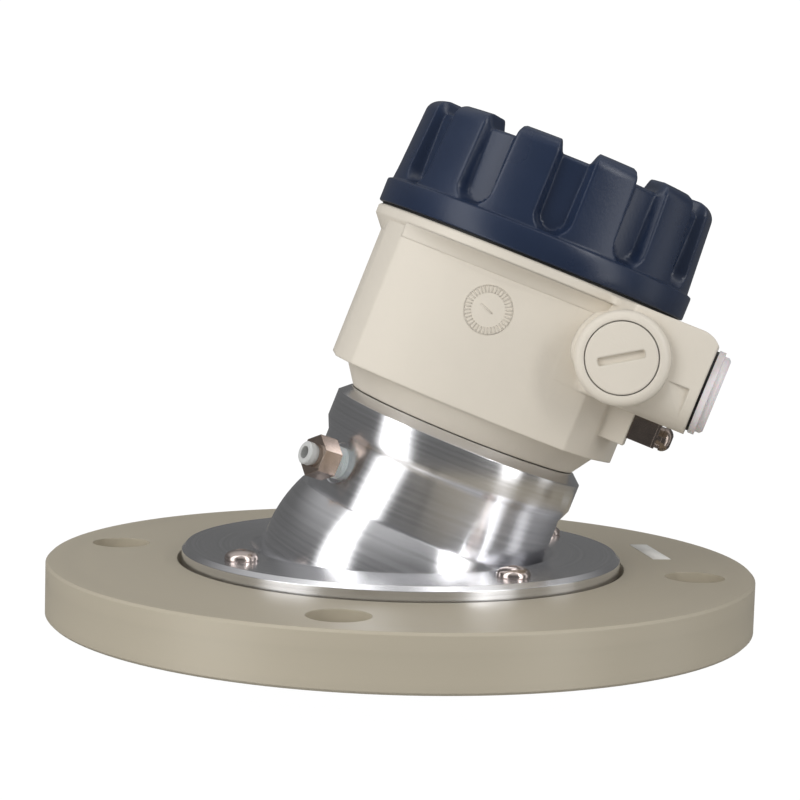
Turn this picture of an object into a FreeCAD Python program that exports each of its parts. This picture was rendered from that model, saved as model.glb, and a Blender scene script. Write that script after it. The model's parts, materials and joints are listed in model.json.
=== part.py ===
import FreeCAD, Part
import Sketcher
import math
import os
import re

# Radar level sensor on an aiming flange. Millimetres. The origin is the middle of the flange's
# underside, +Z points up, and the head leans towards +X. Pieces of the head are drawn upright
# about the ball's centre and then leaned; "height" there is measured along the leaning axis.

SIZES = [
    # Process flange and its clamp disc
    ("flange_radius", 114.3), ("flange_thick", 17.4), ("flange_edge", 0.8),
    ("bolt_edge", 19.05), ("bolt_hole_radius", 9.5), ("bolt_count", 4), ("bolt_turn", -13.7),
    ("lip_top", 4.0), ("ring_wall", 8.0), ("recess_depth", 5.1), ("disc_rim", 24.2),
    ("disc_gap", 1.4), ("disc_thick", 9.5), ("disc_bevel", 1.4), ("seat_drop", 3.8),
    ("mouth_flare", 3.08), ("clamp_offset", 13.0), ("clamp_turn", 31.3), ("clamp_count", 4),
    ("clamp_screw_radius", 2.5), ("clamp_hole_gap", 0.4), ("clamp_screw_depth", 7.5),
    ("clamp_head_radius", 5.25), ("clamp_head_height", 3.3), ("clamp_head_rim", 1.15),
    ("clamp_head_crown", 2.9), ("clamp_head_round", 3.25),
    # Fits, and how far cuts run past the faces that they open
    ("soft_gap", 0.3), ("thread_gap", 0.05), ("running_gap", 0.08), ("cut_over", 1.0),
    ("tap_runout", 1.0),
    # Ball and barrel
    ("ball_radius", 47.0), ("ball_height", 10.0), ("ball_bottom", -20.0), ("ball_shoulder", 20.2),
    ("ball_seal_thick", 2.7), ("ball_step", 6.7), ("barrel_wall", 4.3), ("collar_step", 1.8),
    ("collar_length", 15.9), ("collar_cone", 4.2), ("barrel_top", 54.2), ("top_cone", 3.2),
    ("top_cone_height", 2.8), ("web_thick", 3.0), ("socket_wall", 6.3), ("socket_depth", 14.2),
    ("lean", 20.2),
    # Snap ring that holds the housing in the barrel
    ("snap_rise", 4.0), ("snap_thick", 1.0), ("snap_bite", 1.2),
    # Horn, lens, purge ring and radar module
    ("purge_ring_thick", 4.0), ("purge_ring_width", 6.0), ("purge_jet_radius", 0.9),
    ("purge_jet_inset", 1.7), ("purge_jet_count", 12), ("lens_flange_inset", 3.4),
    ("lens_flange_thick", 2.2), ("lens_seal_thick", 0.8), ("lens_seal_width", 1.6),
    ("lens_belly", 1.4), ("lens_crown", 8.0), ("lens_dome_gap", 1.0), ("horn_rim_over", 0.8),
    ("horn_rim_height", 3.0), ("horn_throat", 1.8), ("horn_neck", 10.0), ("horn_neck_rise", 3.5),
    ("horn_plate_inset", 6.5), ("horn_plate_thick", 3.4), ("module_inset", 7.5),
    ("module_height", 8.5), ("module_bevel", 1.0), ("header_length", 14.0), ("header_width", 6.0),
    ("header_height", 4.0),
    # Air purge fitting, read outwards from the barrel's wall
    ("purge_turn", -150.0), ("purge_drop", 7.1), ("purge_thread_radius", 4.8),
    ("purge_reach", 3.7), ("purge_spot_radius", 6.6), ("purge_spot_depth", 0.5),
    ("purge_tape_thick", 0.3), ("purge_tape_length", 3.7), ("purge_hex_flats", 12.0),
    ("purge_hex_length", 6.5), ("purge_tube_radius", 2.0), ("purge_tube_depth", 7.5),
    ("purge_duct_radius", 1.4), ("collet_wall", 1.2), ("collet_lip", 0.45), ("collet_depth", 3.0),
    ("collet_room", 1.2), ("collet_lift", 1.1), ("collet_head_thick", 2.2), ("collet_bevel", 0.4),
    # Housing
    ("housing_turn", -13.5), ("neck_inset", 0.7), ("neck_step", 1.5), ("neck_length", 8.1),
    ("ridge_half", 35.5), ("ridge_inset", 0.1), ("front_bow", 7.0), ("cheek_out", 6.5),
    ("cheek_back", 8.0), ("side_depth", 7.6), ("back_radius", 48.5), ("ridge_round", 3.0),
    ("body_height", 49.9), ("bead_step", 3.6), ("bead_band", 3.2), ("bead_cone", 4.4),
    ("bead_overlap", 1.0), ("rim_chamfer", 0.6), ("core_wall", 3.5), ("core_step", 1.0),
    ("seal_land", 6.9), ("thread_length", 6.3), ("collar_wall", 4.2), ("floor_thick", 4.2),
    ("spigot_wall", 5.0), ("spigot_gap", 1.0), ("neck_seal_rise", 9.0), ("neck_seal_thick", 1.9),
    # Front conduit boss and its plug
    ("boss_inset", 9.8), ("boss_drop", 17.1), ("boss_radius", 14.3), ("boss_out", 3.9),
    ("boss_length", 26.0), ("boss_round", 2.4), ("conduit_radius", 9.4), ("conduit_overlap", 6.6),
    ("plug_lip", 1.4), ("plug_ring_gap", 0.3), ("plug_head_thick", 3.0), ("plug_reach", 12.0),
    ("plug_slot_length", 14.1), ("plug_slot_width", 1.7), ("plug_slot_depth", 1.5),
    ("plug_slot_turn", 32.6),
    # Cable entry on the right
    ("entry_inset", 15.1), ("entry_drop", 17.3), ("entry_radius", 14.2), ("entry_out", 14.9),
    ("entry_length", 43.0), ("entry_bevel", 5.6), ("entry_bevel_drop", 2.6),
    ("entry_bevel_round", 8.0), ("entry_seal_thick", 0.8), ("entry_seal_inset", 0.5),
    ("cap_flange_inset", 1.0), ("cap_flange_thick", 2.0), ("cap_step", 1.1), ("cap_thick", 2.2),
    ("cap_bevel", 0.8), ("cap_reach", 9.0), ("wire_way_radius", 6.0), ("wire_way_offset", 4.0),
    # Earth terminal below the cable entry
    ("earth_back", 17.0), ("earth_drop", 18.4), ("earth_pad_out", 2.5), ("earth_pad_width", 14.0),
    ("earth_pad_foot", 6.4), ("earth_pad_depth", 8.0), ("earth_pad_overlap", 2.0),
    ("earth_block_length", 8.0), ("earth_block_half", 3.9), ("earth_slot", 4.0),
    ("earth_plate_thick", 0.9), ("earth_washer_thick", 1.4), ("earth_washer_radius", 3.5),
    ("earth_screw_radius", 1.95), ("earth_head_radius", 3.9), ("earth_head_height", 3.1),
    ("earth_head_rim", 0.9), ("earth_head_crown", 1.75), ("earth_head_round", 3.05),
    ("earth_screw_reach", 7.0),
    # Screw that locks the lid
    ("lock_inset", 11.0), ("lock_back", 10.0), ("lock_radius", 2.0), ("lock_head_radius", 3.0),
    ("lock_head_height", 2.4), ("lock_bevel", 0.4), ("lock_reach", 6.0),
    # Lid
    ("lid_turn", -5.0), ("lid_seal_gap", 0.8), ("lid_seal_inset", 1.0), ("lid_rim_over", 0.4),
    ("lid_rim_height", 7.8), ("lid_rim_step", 1.5), ("lid_rim_cone", 0.8), ("lid_taper", 1.5),
    ("lid_height", 36.3), ("lid_shoulder", 4.5), ("thread_end_gap", 0.7), ("lid_roof", 4.0),
    ("flute_count", 12), ("flute_width", 10.5), ("flute_depth", 3.1), ("flute_rise", 8.6),
    ("flute_wall", 4.1), ("notch_depth", 3.3), ("notch_inset", 5.5),
    # Electronics in the housing
    ("board_gap", 3.5), ("board_drop", 28.2), ("board_thick", 1.6), ("post_inset", 4.5),
    ("post_radius", 3.0), ("post_count", 3), ("post_tap", 7.0), ("board_screw_radius", 1.5),
    ("board_screw_head", 2.8), ("board_screw_head_height", 1.8), ("board_screw_reach", 6.0),
    ("part_gap", 0.78), ("block_length", 44.0), ("block_width", 15.0), ("block_height", 13.0),
    ("terminal_count", 6), ("terminal_pitch", 7.0), ("terminal_inset", 9.0),
    ("terminal_screw_radius", 2.2), ("terminal_screw_height", 1.2), ("terminal_well", 2.4),
    ("wire_mouth_low", 3.0), ("wire_mouth_height", 5.0), ("display_length", 40.0),
    ("display_width", 24.0), ("display_height", 15.0), ("glass_inset", 4.0), ("glass_thick", 0.8),
]

# Sizes that follow from others: what seats, passes through or lines up is tied here
TIES = {
    # Flange, clamp disc and the socket for the ball
    "bolt_pitch": "flange_radius - bolt_edge",
    "recess_floor": "flange_thick - recess_depth",
    "disc_top": "recess_floor + disc_thick",
    "seat_top": "disc_top - seat_drop",
    "seat_radius": "ball_radius + soft_gap",
    "disc_mouth": "sqrt(seat_radius^2 - (seat_top - ball_height)^2) + mouth_flare",
    "ring_outer": "ball_radius + ring_wall",
    "disc_radius": "ball_radius + disc_rim",
    "recess_radius": "disc_radius + disc_gap",
    "clamp_pitch": "ball_radius + clamp_offset",
    "clamp_hole_radius": "clamp_screw_radius + clamp_hole_gap",
    "ball_seal_height": "(lip_top + recess_floor) / 2",
    # Barrel: radii follow the ball, heights follow its top
    "barrel_radius": "ball_radius - ball_step",
    "barrel_bore": "barrel_radius - barrel_wall",
    "collar_radius": "barrel_radius + collar_step",
    "barrel_top_radius": "collar_radius - top_cone",
    "socket_radius": "barrel_radius - socket_wall",
    "collar_top": "barrel_top - top_cone_height",
    "collar_start": "barrel_top - collar_length",
    "web_top": "barrel_top - socket_depth",
    "web_bottom": "web_top - web_thick",
    "web_hole": "horn_neck + soft_gap",
    "snap_height": "web_top + snap_rise",
    "snap_outer": "socket_radius + snap_bite",
    "snap_inner": "socket_radius - snap_bite",
    # Antenna in the barrel's bore
    "purge_ring_bore": "barrel_bore - purge_ring_width",
    "purge_jet_pitch": "barrel_bore - purge_jet_inset",
    "lens_flange_radius": "barrel_bore - lens_flange_inset",
    "horn_mouth": "lens_flange_radius - lens_seal_width",
    "horn_rim": "lens_flange_radius + horn_rim_over",
    "horn_plate_radius": "barrel_bore - horn_plate_inset",
    "module_radius": "socket_radius - module_inset",
    # Air fitting
    "purge_height": "collar_start - purge_drop",
    "purge_inner_end": "barrel_radius - purge_reach",
    "purge_spot": "barrel_radius - purge_spot_depth",
    "purge_tape_radius": "purge_thread_radius + purge_tape_thick",
    "purge_hex_start": "purge_spot + purge_tape_length",
    "purge_hex_end": "purge_hex_start + purge_hex_length",
    "collet_sleeve_radius": "purge_tube_radius + collet_wall",
    "collet_head_radius": "collet_sleeve_radius + collet_lip",
    "collet_start": "purge_hex_end - collet_depth",
    # Housing: heights follow the barrel's top, radii follow the round back
    "body_bottom": "barrel_top + neck_length",
    "rim_height": "body_bottom + body_height",
    "bead_full": "rim_height - bead_band",
    "bead_start": "bead_full - bead_cone",
    "thread_collar_top": "rim_height + thread_length",
    "cavity_floor": "body_bottom + floor_thick",
    "bead_radius": "back_radius + bead_step",
    "thread_collar_radius": "bead_radius - seal_land",
    "cavity_radius": "thread_collar_radius - collar_wall",
    "ridge_depth": "sqrt((bead_radius - ridge_inset)^2 - ridge_half^2)",
    "front_depth": "ridge_depth + front_bow",
    "cheek_half": "ridge_half + cheek_out",
    "cheek_depth": "ridge_depth - cheek_back",
    "side_half": "sqrt(back_radius^2 - side_depth^2)",
    "neck_bottom_radius": "barrel_top_radius - neck_inset",
    "neck_radius": "front_depth - neck_step",
    "spigot_bore": "socket_radius - spigot_wall",
    "spigot_bottom": "web_top + spigot_gap",
    "neck_seal_height": "web_top + neck_seal_rise",
    # Conduit entries, earth terminal and lock screw
    "boss_side": "bead_radius - boss_inset",
    "boss_face": "bead_radius + boss_out",
    "boss_root": "boss_face - boss_length",
    "boss_height": "rim_height - boss_drop",
    "plug_head_radius": "conduit_radius + plug_lip",
    "entry_depth": "bead_radius - entry_inset",
    "entry_face": "bead_radius + entry_out",
    "entry_root": "entry_face - entry_length",
    "entry_height": "rim_height - entry_drop",
    "entry_top": "rim_height - rim_chamfer",
    "cap_flange_radius": "entry_radius - cap_flange_inset",
    "cap_radius": "cap_flange_radius - cap_step",
    "cap_seat": "entry_face + entry_seal_thick",
    "wire_way_depth": "entry_depth - wire_way_offset",
    "earth_depth": "entry_depth - earth_back",
    "earth_height": "entry_height - earth_drop",
    "earth_pad_face": "back_radius + earth_pad_out",
    "earth_pad_root": "back_radius - earth_pad_depth",
    "earth_pad_low": "earth_height - earth_pad_foot",
    "earth_pad_high": "entry_height - entry_radius + earth_pad_overlap",
    "earth_hole_radius": "earth_screw_radius + thread_gap",
    "earth_plate_low": "earth_pad_face + earth_block_length",
    "earth_washer_low": "earth_plate_low + earth_plate_thick",
    "earth_head_low": "earth_washer_low + earth_washer_thick",
    "lock_side": "entry_face - lock_inset",
    "lock_depth": "entry_depth - lock_back",
    # Lid
    "lid_low": "rim_height + lid_seal_gap",
    "lid_top": "lid_low + lid_height",
    "lid_bore": "thread_collar_radius + soft_gap",
    "lid_bore_end": "thread_collar_top + thread_end_gap",
    "lid_rim_radius": "bead_radius + lid_rim_over",
    "lid_foot_radius": "lid_rim_radius - lid_rim_step",
    "lid_head_radius": "lid_foot_radius - lid_taper",
    "flute_floor": "lid_head_radius - flute_depth",
    "flute_low": "lid_low + flute_rise",
    "lid_cavity": "flute_floor - flute_wall",
    "notch_floor": "lid_top - notch_depth",
    "notch_inner": "lid_head_radius - notch_inset",
    # Electronics
    "board_radius": "cavity_radius - board_gap",
    "board_height": "rim_height - board_drop",
    "board_top": "board_height + board_thick",
    "post_pitch": "board_radius - post_inset",
    "part_edge": "post_pitch * sin(180 / post_count) - board_screw_head - part_gap",
    "block_back": "part_edge - block_width",
    "display_back": "part_edge - display_width",
}

doc = FreeCAD.newDocument("RadarLevelSensor")
sheet = doc.addObject("Spreadsheet::Sheet", "Sizes")
for row, (name, number) in enumerate(SIZES, start=1):
    sheet.set("A%d" % row, name)
    sheet.set("B%d" % row, str(number))
    sheet.setAlias("B%d" % row, name)
doc.recompute()
names = {name for name, number in SIZES}
nodes = []


def formula(text):
    """Points every size named in the text at its cell in the sheet. A tied size becomes the
    formula that it follows."""
    def cell(word):
        name = word.group(0)
        if name in TIES:
            return "(" + formula(TIES[name]) + ")"
        return "Sizes." + name if name in names else name
    return re.sub(r"[a-z_]+", cell, str(text))


def number(text):
    """What a formula comes to now."""
    result = sheet.evalExpression(formula(text))
    return float(getattr(result, "Value", result))


# Places, as formulas
LEANING = "placement(vector(0; 0; ball_height); rotation(vector(0; 1; 0); lean))"
HOUSING = LEANING + " * placement(vector(0; 0; 0); rotation(vector(0; 0; 1); housing_turn))"
LID = LEANING + " * placement(vector(0; 0; 0); rotation(vector(0; 0; 1); lid_turn))"
PURGE = (LEANING + " * placement(vector(0; 0; purge_height); rotation(vector(0; 0; 1); purge_turn))"
         " * placement(vector(0; 0; 0); rotation(vector(0; 1; 0); 90))")
PLUG = (HOUSING + " * placement(vector(boss_side; 0; boss_height);"
        " rotation(vector(1; 0; 0); 90))")
ENTRY = (HOUSING + " * placement(vector(0; -entry_depth; entry_height);"
         " rotation(vector(0; 1; 0); 90))")
EARTH = (HOUSING + " * placement(vector(0; -earth_depth; earth_height);"
         " rotation(vector(0; 1; 0); 90))")


def seat(thing, label, place=None):
    """Names a finished sub-part and puts it in its place."""
    thing.Label = label
    if place:
        thing.setExpression("Placement", formula(place))
    nodes.append(thing)
    return thing


def bind(thing, **sizes):
    for prop, text in sizes.items():
        thing.setExpression(prop, formula(text))
    return thing


def plane(body, role):
    return [part for part in body.Origin.OriginFeatures if part.Role == role][0]


def sketch_on(body, role, offset="0"):
    """An empty sketch on one of the body's own planes, moved along that plane's normal."""
    sketch = body.newObject("Sketcher::SketchObject", "Sketch")
    sketch.AttachmentSupport = [(plane(body, role), "")]
    sketch.MapMode = "FlatFace"
    sketch.setExpression(".AttachmentOffset.Base.z", formula(offset))
    return sketch


def pin(sketch, geometry, end, across, up):
    """Ties one end of a line or arc to its two formulas."""
    for kind, text in (("DistanceX", across), ("DistanceY", up)):
        constraint = Sketcher.Constraint(kind, -1, 1, geometry, end, number(text))
        index = sketch.addConstraint(constraint)
        sketch.setExpression("Constraints[%d]" % index, formula(text))


def outline(sketch, corners):
    """A closed outline through corners (across, up). A third item is the radius of the arc that
    leads to the next corner: with a minus sign it turns clockwise."""
    spots = [FreeCAD.Vector(number(c[0]), number(c[1]), 0) for c in corners]
    first, last = [], []
    for i, corner in enumerate(corners):
        a, b = spots[i], spots[(i + 1) % len(spots)]
        if len(corner) == 2:
            sketch.addGeometry(Part.LineSegment(a, b), False)
            first.append(1)
            last.append(2)
            continue
        radius = number(corner[2])
        chord = b - a
        rise = math.sqrt(max(radius ** 2 - (chord.Length / 2) ** 2, 0))
        left = FreeCAD.Vector(-chord.y, chord.x, 0).normalize()
        centre = (a + b) * 0.5 + left * math.copysign(rise, radius)
        start, end = (a, b) if radius > 0 else (b, a)
        circle = Part.Circle(centre, FreeCAD.Vector(0, 0, 1), abs(radius))
        turn = [math.atan2((p - centre).y, (p - centre).x) for p in (start, end)]
        arc = sketch.addGeometry(Part.ArcOfCircle(circle, turn[0], turn[1]), False)
        index = sketch.addConstraint(Sketcher.Constraint("Radius", arc, abs(radius)))
        sketch.setExpression("Constraints[%d]" % index, "abs(%s)" % formula(corner[2]))
        first.append(1 if radius > 0 else 2)
        last.append(2 if radius > 0 else 1)
    for i, corner in enumerate(corners):
        j = (i + 1) % len(corners)
        sketch.addConstraint(Sketcher.Constraint("Coincident", i, last[i], j, first[j]))
        pin(sketch, i, first[i], corner[0], corner[1])
    return sketch


def circle(sketch, across, up, radius):
    spot = FreeCAD.Vector(number(across), number(up), 0)
    ring = sketch.addGeometry(Part.Circle(spot, FreeCAD.Vector(0, 0, 1), number(radius)), False)
    pin(sketch, ring, 3, across, up)
    index = sketch.addConstraint(Sketcher.Constraint("Radius", ring, number(radius)))
    sketch.setExpression("Constraints[%d]" % index, formula(radius))
    return sketch


def box_outline(sketch, left, low, right, high):
    return outline(sketch, [(left, low), (right, low), (right, high), (left, high)])


def turned_feature(body, corners, kind="PartDesign::Revolution"):
    """Revolves, or with a Groove cuts, a half outline (radius, height) about the body's Z."""
    sketch = outline(sketch_on(body, "XZ_Plane"), corners)
    feature = body.newObject(kind, "Turned")
    feature.Profile = sketch
    feature.ReferenceAxis = (sketch, ["V_Axis"])
    feature.Angle = 360
    body.Tip = feature
    doc.recompute()
    return feature


def new_body(name):
    return doc.addObject("PartDesign::Body", name)


def turned(label, corners, place=None):
    """A sub-part that is one solid of revolution."""
    body = new_body(label)
    turned_feature(body, corners)
    return seat(body, label, place)


def pad(body, sketch, length):
    feature = body.newObject("PartDesign::Pad", "Pad")
    feature.Profile = sketch
    bind(feature, Length=length)
    body.Tip = feature
    doc.recompute()
    return feature


def pocket(body, sketch, length=None, outward=False, through=False):
    """Cuts the sketch against its plane's normal, along it, or right through both ways."""
    before = body.Shape.Volume
    feature = body.newObject("PartDesign::Pocket", "Pocket")
    feature.Profile = sketch
    feature.Reversed = outward
    if through:
        feature.Type = 1
        feature.Midplane = True
    else:
        bind(feature, Length=length)
    body.Tip = feature
    doc.recompute()
    if not feature.Shape.Volume < before:
        raise RuntimeError("a pocket of %s cuts nothing" % body.Name)
    return feature


def polar(body, features, count):
    """Repeats features about the body's Z, as many times as the named size says."""
    pattern = body.newObject("PartDesign::PolarPattern", "Pattern")
    pattern.Originals = features
    pattern.Axis = (plane(body, "Z_Axis"), [""])
    pattern.Angle = 360
    bind(pattern, Occurrences=count)
    body.Tip = pattern
    doc.recompute()
    return pattern


def rounded(body, radius, wanted):
    """Fillets the edges that the test picks."""
    base = body.Tip
    picked = ["Edge%d" % i for i, edge in enumerate(base.Shape.Edges, start=1) if wanted(edge)]
    if not picked:
        raise RuntimeError("no edge to round on %s" % body.Name)
    feature = body.newObject("PartDesign::Fillet", "Rounded")
    feature.Base = (base, picked)
    bind(feature, Radius=radius)
    body.Tip = feature
    doc.recompute()
    return feature


def near(length, text):
    """Whether a measured length is the one that the formula gives."""
    return abs(length - number(text)) < 0.05


def ring_of(label, count, pitch, turn, make, place=None):
    """A node of equal solids spaced round a circle of that pitch radius: make() draws one at
    the circle's middle."""
    copies = []
    for i in range(int(number(count))):
        spot = make()
        step = "(%s + %d * 360 / %s)" % (turn, i, count)
        spot.setExpression("Placement", formula(
            "placement(vector({0} * cos({1}); {0} * sin({1}); 0);"
            " rotation(vector(0; 0; 1); {1}))".format(pitch, step)))
        copies.append(spot)
    group = doc.addObject("Part::Compound", label)
    group.Links = copies
    doc.recompute()
    return seat(group, label, place)


def spun(corners):
    """One revolved solid that belongs to a group."""
    body = new_body("Piece")
    turned_feature(body, corners)
    return body


# Process flange: flat ring with a stepped recess and a spherical lip below the ball
def process_flange():
    body = new_body("process_flange")
    low = "sqrt(seat_radius^2 - ball_height^2)"
    high = "sqrt(seat_radius^2 - (ball_height - lip_top)^2)"
    turned_feature(body, [
        (low, "0"), ("flange_radius - flange_edge", "0"), ("flange_radius", "flange_edge"),
        ("flange_radius", "flange_thick - flange_edge"),
        ("flange_radius - flange_edge", "flange_thick"),
        ("recess_radius", "flange_thick"), ("recess_radius", "recess_floor"),
        ("ring_outer + soft_gap", "recess_floor"), ("ring_outer + soft_gap", "lip_top"),
        (high, "lip_top", "-seat_radius")])
    bolt = sketch_on(body, "XY_Plane")
    circle(bolt, "bolt_pitch * cos(bolt_turn)", "bolt_pitch * sin(bolt_turn)", "bolt_hole_radius")
    polar(body, [pocket(body, bolt, through=True)], "bolt_count")
    tapped = sketch_on(body, "XY_Plane", "recess_floor")
    circle(tapped, "clamp_pitch * cos(clamp_turn)", "clamp_pitch * sin(clamp_turn)",
           "clamp_screw_radius + thread_gap")
    hole = pocket(body, tapped, "clamp_screw_depth + tap_runout")
    polar(body, [hole], "clamp_count")
    seat(body, "process_flange")


# Clamp disc: turned plate whose spherical bore holds the ball down
def clamp_disc():
    body = new_body("clamp_disc")
    low = "sqrt(seat_radius^2 - (recess_floor - ball_height)^2)"
    high = "sqrt(seat_radius^2 - (seat_top - ball_height)^2)"
    turned_feature(body, [
        (low, "recess_floor"), ("disc_radius", "recess_floor"),
        ("disc_radius", "disc_top - disc_bevel"), ("disc_radius - disc_bevel", "disc_top"),
        ("disc_mouth", "disc_top"), (high, "seat_top", "-seat_radius")])
    hole = sketch_on(body, "XY_Plane")
    circle(hole, "clamp_pitch * cos(clamp_turn)", "clamp_pitch * sin(clamp_turn)",
           "clamp_hole_radius")
    polar(body, [pocket(body, hole, through=True)], "clamp_count")
    seat(body, "clamp_disc")


def clamp_screw():
    return spun([
        ("0", "recess_floor - clamp_screw_depth"),
        ("clamp_screw_radius", "recess_floor - clamp_screw_depth"),
        ("clamp_screw_radius", "disc_top"), ("clamp_head_radius", "disc_top"),
        ("clamp_head_radius", "disc_top + clamp_head_rim", "clamp_head_round"),
        ("clamp_head_crown", "disc_top + clamp_head_height"),
        ("0", "disc_top + clamp_head_height")])


# Seat ring: turns with the ball between the lip and the clamp disc and carries the ball's seal
def seat_ring():
    inner = "sqrt(seat_radius^2 - (ball_height - {0})^2)"
    low, high = "(lip_top + soft_gap)", "(recess_floor - soft_gap)"
    groove_low = "(ball_seal_height - ball_seal_thick / 2 - thread_gap)"
    groove_high = "(ball_seal_height + ball_seal_thick / 2 + thread_gap)"
    bottom = "(seat_radius + ball_seal_thick + thread_gap)"
    turned("seat_ring", [
        (inner.format(low), low), ("ring_outer", low), ("ring_outer", high),
        (inner.format(high), high, "-seat_radius"), (inner.format(groove_high), groove_high),
        (bottom, groove_high), (bottom, groove_low),
        (inner.format(groove_low), groove_low, "-seat_radius")])


def o_ring(label, middle, height, thick, place=None):
    """A seal ring about Z, its round section drawn with eight sides."""
    turns = [(i + 0.5) * 360 / 8 for i in range(8)]
    turned(label, [("%s + %s / 2 * cos(%s)" % (middle, thick, turn),
                    "%s + %s / 2 * sin(%s)" % (height, thick, turn)) for turn in turns], place)


# Ball and barrel, turned in one piece
def ball_barrel():
    body = new_body("BarrelTurning")
    snap_low = "snap_height - snap_thick / 2 - thread_gap"
    snap_high = "snap_height + snap_thick / 2 + thread_gap"
    snap_deep = "snap_outer + thread_gap"
    turned_feature(body, [
        ("sqrt(ball_radius^2 - ball_bottom^2)", "ball_bottom", "ball_radius"),
        ("sqrt(ball_radius^2 - ball_shoulder^2)", "ball_shoulder"),
        ("barrel_radius", "ball_shoulder"), ("barrel_radius", "collar_start"),
        ("collar_radius", "collar_start + collar_cone"), ("collar_radius", "collar_top"),
        ("barrel_top_radius", "barrel_top"), ("socket_radius", "barrel_top"),
        ("socket_radius", snap_high), (snap_deep, snap_high), (snap_deep, snap_low),
        ("socket_radius", snap_low), ("socket_radius", "web_top"), ("web_hole", "web_top"),
        ("web_hole", "web_bottom"), ("barrel_bore", "web_bottom"), ("barrel_bore", "ball_bottom")])
    hole = doc.addObject("Part::Cylinder", "PurgeHole")
    spot = doc.addObject("Part::Cylinder", "SpotFace")
    out = ("placement(vector(0; 0; purge_height); rotation(vector(0; 0; 1); purge_turn))"
           " * placement(vector({0}; 0; 0); rotation(vector(0; 1; 0); 90))")
    bind(hole, Radius="purge_thread_radius + thread_gap", Height="collar_radius",
         Placement=out.format("0"))
    bind(spot, Radius="purge_spot_radius", Height="purge_tape_length",
         Placement=out.format("purge_spot"))
    tools = doc.addObject("Part::Fuse", "PurgeCut")
    tools.Base, tools.Tool = hole, spot
    finished = doc.addObject("Part::Cut", "ball_barrel")
    finished.Base, finished.Tool = body, tools
    doc.recompute()
    seat(finished, "ball_barrel", LEANING)


def snap_ring():
    low, high = "snap_height - snap_thick / 2", "snap_height + snap_thick / 2"
    turned("snap_ring", [("snap_inner", low), ("snap_outer", low), ("snap_outer", high),
                         ("snap_inner", high)], LEANING)


# Antenna: horn over a lens, with a ring of air jets round the lens
def purge_ring():
    body = new_body("purge_ring")
    top = "ball_bottom + purge_ring_thick"
    turned_feature(body, [("purge_ring_bore", "ball_bottom"),
                          ("barrel_bore - thread_gap", "ball_bottom"),
                          ("barrel_bore - thread_gap", top), ("purge_ring_bore", top)])
    jet = circle(sketch_on(body, "XY_Plane"), "purge_jet_pitch", "0", "purge_jet_radius")
    polar(body, [pocket(body, jet, through=True)], "purge_jet_count")
    seat(body, "purge_ring", LEANING)


def antenna():
    shelf = "(ball_bottom + purge_ring_thick)"
    lens_top = "(ball_bottom + purge_ring_thick + lens_flange_thick)"
    rim = "(ball_bottom + purge_ring_thick + lens_flange_thick + lens_seal_thick)"
    body_radius = "(purge_ring_bore - thread_gap)"
    dome = "(horn_mouth - lens_dome_gap)"
    crown = "((({0})^2 + lens_crown^2) / (2 * lens_crown))".format(dome)
    belly = "((({0})^2 + lens_belly^2) / (2 * lens_belly))".format(body_radius)
    face = "(ball_bottom + lens_belly + soft_gap)"
    turned("antenna_lens", [
        ("0", "ball_bottom + soft_gap", belly), (body_radius, face), (body_radius, shelf),
        ("lens_flange_radius", shelf), ("lens_flange_radius", lens_top),
        (dome, lens_top, crown), ("0", lens_top + " + lens_crown")], LEANING)
    turned("lens_seal", [("horn_mouth", lens_top), ("lens_flange_radius", lens_top),
                         ("lens_flange_radius", rim), ("horn_mouth", rim)], LEANING)
    plate = "(web_bottom - horn_plate_thick)"
    turned("horn_antenna", [
        ("horn_mouth", rim), ("horn_rim", rim), ("horn_rim", rim + " + horn_rim_height"),
        ("horn_neck", plate + " - horn_neck_rise"), ("horn_neck", plate),
        ("horn_plate_radius", plate), ("horn_plate_radius", "web_bottom"),
        ("horn_neck", "web_bottom"), ("horn_neck", "web_top"), ("horn_throat", "web_top"),
        ("horn_throat", plate), ("horn_mouth", rim + " + horn_rim_height")], LEANING)


def radar_module():
    top = "web_top + module_height"
    turned("radar_module", [
        ("0", "web_top"), ("module_radius", "web_top"), ("module_radius", top + " - module_bevel"),
        ("module_radius - module_bevel", top), ("0", top)], LEANING)
    header = doc.addObject("Part::Box", "signal_header")
    bind(header, Length="header_length", Width="header_width", Height="header_height")
    seat(header, "signal_header", LEANING + " * placement(vector(-header_length / 2;"
         " -header_width / 2; %s); rotation(vector(0; 0; 1); 0))" % top)


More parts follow.
